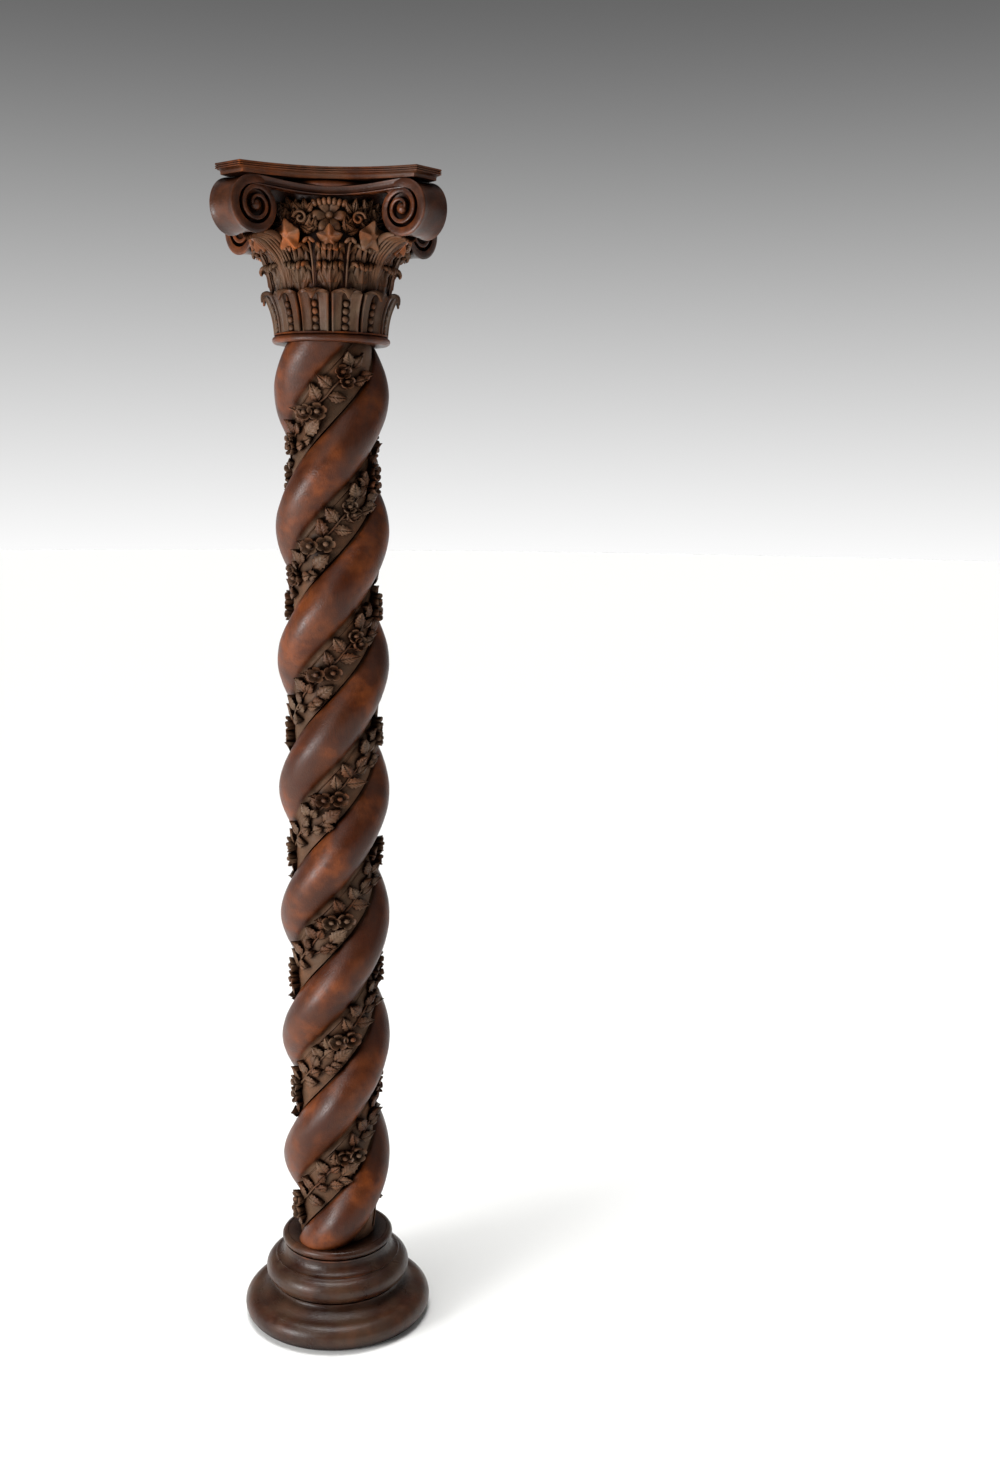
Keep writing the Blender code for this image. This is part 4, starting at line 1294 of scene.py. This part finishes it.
    def web_grid(self, centre: float, radius: float, rim: float, middle: float) -> np.ndarray:
        """A disc in the scroll that lies along +X, on both its faces: its depth goes from rim to middle.

        Args:
            centre: the reach of its middle.
            radius: its radius.
            rim: metres under the scroll's face at its rim.
            middle: metres under the face at its middle.

        Returns:
            Rows across both faces x points round x 3.
        """
        ring = np.linspace(0, 2 * math.pi, 40, endpoint=False)[None]
        share = np.array([0.02, 0.35, 0.7, 1.0])[:, None]
        reach = centre + share * radius * np.sin(ring)
        height = self.top - self.scroll_radius + share * radius * np.cos(ring)
        depth = self.half_width(reach) - middle - (rim - middle) * share**2
        left, right = (np.stack([reach, side * depth, height], -1) for side in (-1, 1))
        return np.concatenate([left, right[::-1]])

    def band_grid(self) -> np.ndarray:
        """The band on the -Y face: a hollow channel over a beaded lip, which sags between the two scrolls.

        Its front runs out towards the scrolls by the square of the way across, and its height and its drop
        follow the same square. Each section point has a share of the height and millimetres behind the
        front.

        Returns:
            Rows across the face x points round the section x 3.
        """
        end_reach = self.scroll_reach - self.scroll_radius + 0.002
        half = self.half_width(end_reach) - 0.0015
        end_across, end_out = (end_reach - half) / math.sqrt(2), (end_reach + half) / math.sqrt(2)
        share = np.linspace(-1, 1, 49)[:, None]
        out = self.band_reach + (end_out - self.band_reach) * share**2
        top = self.top - 0.0003 - self.band_drop * (1 - share**2) ** 1.5
        tall = self.band_height + 0.002 * share**2
        drop = np.array([0.0, 0.03, 0.10, 0.25, 0.42, 0.58, 0.70, 0.76, 0.80, 0.88, 0.95, 1.0, 1.0, 0.5, 0.0])
        back = np.array([2.0, 0.4, 0.6, 2.2, 3.0, 3.0, 2.4, 1.8, 0.2, -0.8, -0.4, 1.6, 20, 22, 20]) / 1000
        return np.stack(np.broadcast_arrays(end_across * share, -(out - back), top - tall * drop), -1)

    def build_flowers(self, finish: bpy.types.Material) -> None:
        """Fills each face over the leaves: a flower in the middle, buds over it and curling sprays beside it.

        Args:
            finish: the flowers' material.
        """
        carving = Carving("capital_flowers")
        rng = np.random.default_rng(23)
        for k in range(CORNERS):
            self.add_face(carving, rng, -QUARTER + k * QUARTER)
        carving.build(finish, "capital_wood", "carved_capital", 55.0)

    def on_face(
        self, angle: float, across: float, height: float, reach: float, turn: float = 0.0, slope: float = 0.0
    ) -> Place:
        """A function that lays flat points, with +Z outwards, on a face that leans out.

        Args:
            angle: the way that the face looks, round the axis.
            across: metres to the right of the face's middle.
            height: metres over the floor.
            reach: metres from the axis.
            turn: the angle by which the points are turned first.
            slope: metres that the face leans out for each metre up.

        Returns:
            The function, from flat points to points on the face.
        """

        def place(points: np.ndarray) -> np.ndarray:
            """Flat points to points on the face: x to the right, y up and z outwards."""
            flat = turned(points, turn)
            out = reach + points[..., 2] + slope * flat[..., 1]
            return turned(np.stack([out, across + flat[..., 0], height + flat[..., 1]], -1), angle)

        return place

    def add_face(self, carving: Carving, rng: np.random.Generator, angle: float) -> None:
        """Adds one face's flower, its row of buds, and on each side sprays of leaves that spread from a foot.

        A spray is a foot (way round the bell, height over the ring, reach) and its leaves (turn, length,
        width), in millimetres and degrees.

        Args:
            carving: the piece that takes them.
            rng: the source of the leaves' small changes.
            angle: the way that the face looks, round the axis.
        """
        flower = Flower(0.0305, 0.0215, petals=6, notch=0.46, bud=0.20, sides=60, bloom=Bloom.LOBED)
        carving.add_shell(flower.shell(self.on_face(angle, 0.0, self.flower_height, 0.1120)), None, 0.10)
        for k in range(self.buds):
            off = k - self.buds // 2
            height = self.top - 0.0335 - 0.0012 * abs(off)
            place = self.on_face(angle, off * 0.0082, height, 0.1285, off * -0.175)
            carving.add_shell(place(ball((0.0044, 0.0066, 0.0055))), None, 0.15)
        sprays = (
            ((70, 162, 121), ((62, 32, 16), (92, 36, 17), (122, 34, 16), (20, 26, 13), (158, 24, 13))),
            ((46, 160, 120), ((50, 28, 14), (88, 32, 15), (128, 29, 14), (170, 24, 12), (10, 24, 12))),
            ((40, 184, 121), ((40, 26, 13), (85, 24, 14), (140, 24, 13), (-20, 22, 12))),
            ((64, 188, 122), ((70, 24, 13), (125, 22, 12), (5, 24, 13), (35, 24, 13))),
            ((29, 154, 120), ((70, 24, 13), (110, 26, 13), (20, 22, 12))),
            ((84, 176, 123), ((80, 28, 14), (110, 28, 14), (145, 24, 13))),
        )
        for side in (-1, 1):
            for (across, rise, reach), leaves in sprays:
                foot = angle + side * across / 1000 / self.bell_reach
                for turn, length, width in leaves:
                    turn = math.radians(turn + rng.uniform(-8, 8))
                    turn = turn if side > 0 else math.pi - turn
                    lift, curl = rng.uniform(0.006, 0.010), rng.uniform(0.001, 0.006)
                    grid, veins = toothed_leaf(length / 1000, width / 1000, lift, curl)
                    place = self.on_face(foot, 0.0, self.ring_top + rise / 1000, reach / 1000, turn)
                    carving.add_shell(place(grid), veins, 0.10)
            self.add_curl(carving, angle, side)

    def add_curl(self, carving: Carving, angle: float, side: int) -> None:
        """Adds a stem that curls into a small scroll beside the flower: its radius closes with the way along.

        Args:
            carving: the piece that takes it.
            angle: the way that the face looks, round the axis.
            side: -1 for the left and 1 for the right.
        """
        along = np.linspace(0, 1, 40)
        turn = math.pi * 2.6 * along
        radius = 0.0115 * (1 - 0.85 * along)
        right = side * (0.0475 + radius * np.cos(turn))
        flat = np.stack([right, radius * np.sin(turn), 0.014 + 0 * along], -1)
        place = self.on_face(angle, 0.0, self.ring_top + 0.176, 0.1150)
        carving.add_shell(tube(place(flat), 0.0022), None, 0.2)


@dataclass
class Abacus:
    """The board on top, with hollowed sides, cut corners and a moulded edge.

    Attributes:
        foot: the height of its underside.
        corner, middle: how far a side stands out at its corners and at its middle.
        inner: half the length of a side between its cut corners.
        side_steps, corner_steps: steps along a side and along a cut.
        moulding: the edge's outline as insets and rises, from the underside to the top.
    """

    foot: float = 2.0526
    corner: float = 0.182
    inner: float = 0.140
    middle: float = 0.142
    side_steps: int = 44
    corner_steps: int = 8
    moulding: Line = (
        (0.060, 0.0), (0.0092, 0.0), (0.0084, 0.0006), (0.0082, 0.0046), (0.0072, 0.0060), (0.0044, 0.0069),
        (0.0030, 0.0073), (0.0030, 0.0078), (0.0006, 0.0082), (0.0000, 0.0090), (0.0004, 0.0100),
        (0.0022, 0.0106), (0.0004, 0.0112), (0.0, 0.0121), (0.0004, 0.0130), (0.0022, 0.0136),
        (0.0004, 0.0142), (0.0, 0.0158), (0.0004, 0.0168), (0.0011, 0.0174), (0.060, 0.0174),
    )

    def outline(self, inset: float) -> np.ndarray:
        """The board's plan, drawn in by an inset.

        A side stands out from its middle to its corner by the square of the way across, and a straight cut
        joins each side to the next.

        Args:
            inset: metres inside the full plan.

        Returns:
            Points (x, y) once round.
        """
        share = np.linspace(-1, 1, self.side_steps + 1)
        corner, inner, middle = self.corner - inset, self.inner - inset / 2, self.middle - inset
        side = np.stack([inner * share, -(middle + (corner - middle) * share**2)], -1)
        end, following = side[-1], np.array([corner, -inner])
        cut = end + (following - end) * np.linspace(0, 1, self.corner_steps + 1)[1:-1, None]
        piece = np.concatenate([side, cut])
        return np.concatenate([turned(piece, k * QUARTER) for k in range(CORNERS)])

    def build(self, finish: bpy.types.Material) -> None:
        """Carries the edge's moulding round the plan: row by row an inset and a height.

        Args:
            finish: the board's material.
        """
        rings = []
        for inset, rise in self.moulding:
            plan = self.outline(inset)
            rings.append(np.column_stack([plan, np.full(len(plan), self.foot + rise)]))
        carving = Carving("abacus_board")
        carving.add_shell(np.stack(rings))
        carving.build(finish, "abacus_wood", "abacus", 40.0)


@dataclass
class Studio:
    """A pale floor, a soft pale surround, soft lights and the camera at the photograph's angle.

    A sun has degrees over the floor, degrees to the right of the front face's direction, watts on a square
    metre, and its width in degrees, which softens the shadows.
    """

    floor_radius: float = 27.0
    floor_sides: int = 96
    suns: tuple[tuple[str, float, float, float, float], ...] = (
        ("soft_sun_top", 86.0, -60.0, 2.6, 30.0),
        ("soft_sun_left", 40.0, -52.0, 0.48, 40.0),
        ("soft_sun_right", 40.0, 58.0, 0.20, 45.0),
    )
    softbox_place: tuple[float, float, float] = (-2.35, -1.7, 1.0)
    softbox_aim: tuple[float, float, float] = (0.0, 0.0, 1.2)
    softbox_size: float = 1.1
    softbox_power: float = 98.0
    aim_turn: float = math.radians(5.5) - 0.0016
    camera_place: tuple[float, float, float] = (0.0380, -2.7737, 1.5956)
    pitch: float = 0.1684
    roll: float = 0.0111
    sensor: float = 36.0
    focal_share: float = 1550.5 / 1460

    def build(self) -> None:
        """Makes the floor, the surround, the lights and the camera."""
        self.make_floor()
        self.make_surround()
        self.make_lights()
        self.make_camera()
        bpy.context.scene.view_settings.view_transform = "Standard"

    def make_floor(self) -> None:
        """A round floor of matt white paper: one ring of points at its rim."""
        angle = np.linspace(0, 2 * math.pi, self.floor_sides, endpoint=False)
        mesh = bpy.data.meshes.new("studio_floor")
        mesh.from_pydata(round_axis(angle, self.floor_radius, -0.0004), [], [list(range(self.floor_sides))])
        made = bpy.data.objects.new("studio_floor", mesh)
        bpy.context.scene.collection.objects.link(made)
        paper = bpy.data.materials.new("matt_white_paper")
        paper.use_nodes = True
        shader = paper.node_tree.nodes["Principled BSDF"]
        shader.inputs["Base Color"].default_value = hex_to_linear("fdfdfb")
        shader.inputs["Roughness"].default_value = 0.9
        shader.inputs["Specular IOR Level"].default_value = 0.1
        mesh.materials.append(paper)

    def make_surround(self) -> None:
        """The surround: white at the horizon, falling to grey overhead, and far darker behind the camera."""
        world = bpy.data.worlds.new("studio_surround")
        world.use_nodes = True
        bpy.context.scene.world = world
        tree = world.node_tree
        direction = add_node(tree, "ShaderNodeTexCoord", output="Generated")
        rise = add_node(tree, "ShaderNodeSeparateXYZ", (direction,), "Z")
        ahead = add_node(tree, "ShaderNodeSeparateXYZ", (direction,), "Y")
        low = add_node(tree, "ShaderNodeMapRange", (rise, -0.06, 0.29, 1.0, 0.0))
        bent = add_node(tree, "ShaderNodeMath", (low, 1.45), operation="POWER")
        grey = add_node(tree, "ShaderNodeMapRange", (bent, 0.0, 1.0, 0.12, 1.0))
        behind = add_node(tree, "ShaderNodeMapRange", (ahead, -0.35, 0.25, 0.2, 1.0))
        total = add_node(tree, "ShaderNodeMath", (grey, behind), operation="MULTIPLY")
        tree.links.new(total, tree.nodes["Background"].inputs["Color"])

    def stand(self, name: str, data: bpy.types.ID, place: Vector, look: Vector) -> bpy.types.Object:
        """Puts a lamp or the camera in the scene, looking one way.

        Args:
            name: its name.
            data: the lamp's or camera's data.
            place: where it stands.
            look: the direction in which it looks.

        Returns:
            The object.
        """
        made = bpy.data.objects.new(name, data)
        bpy.context.scene.collection.objects.link(made)
        made.location = place
        made.rotation_mode = "QUATERNION"
        made.rotation_quaternion = look.to_track_quat("-Z", "Y")
        return made

    def make_lights(self) -> None:
        """The broad soft suns, and a soft square light that looks at the column's upper half."""
        for name, rise, bearing, strength, spread in self.suns:
            lamp = bpy.data.lights.new(name, "SUN")
            lamp.energy, lamp.angle = strength, math.radians(spread)
            level, turn = math.cos(math.radians(rise)), math.radians(bearing)
            towards = Vector((math.sin(turn) * level, -math.cos(turn) * level, math.sin(math.radians(rise))))
            self.stand(name, lamp, Vector(), -towards)
        lamp = bpy.data.lights.new("left_softbox", "AREA")
        lamp.shape, lamp.size, lamp.energy = "SQUARE", self.softbox_size, self.softbox_power
        place = Vector(self.softbox_place)
        self.stand("left_softbox", lamp, place, Vector(self.softbox_aim) - place)

    def make_camera(self) -> None:
        """The camera, turned and leaned as the photograph's was."""
        lens = bpy.data.cameras.new("studio_camera")
        lens.sensor_width = self.sensor
        lens.lens = self.sensor * self.focal_share
        level, down = math.cos(self.pitch), math.sin(self.pitch)
        look = Vector((math.sin(self.aim_turn) * level, math.cos(self.aim_turn) * level, -down))
        made = self.stand("studio_camera", lens, Vector(self.camera_place), look)
        made.rotation_quaternion = made.rotation_quaternion @ Quaternion((0, 0, 1), self.roll)
        bpy.context.scene.camera = made


def main() -> None:
    """Builds the column's pieces in order, bottom to top, then the studio."""
    logging.basicConfig(level=logging.INFO, format="%(message)s")
    strand_wood, leaf_wood = STRANDS.material(), LEAVES.material()
    TurnedBase().build(BASE.material())
    shaft = TwistedShaft()
    shaft.build_core(strand_wood)
    Vine(shaft).build(VINE.material())
    capital = Capital()
    capital.build_bell(strand_wood)
    capital.build_petals(PETALS.material())
    capital.build_leaves(leaf_wood)
    capital.build_scrolls(SCROLLS.material())
    capital.build_flowers(leaf_wood)
    Abacus().build(BOARD.material())
    Studio().build()


if __name__ == "__main__":
    main()
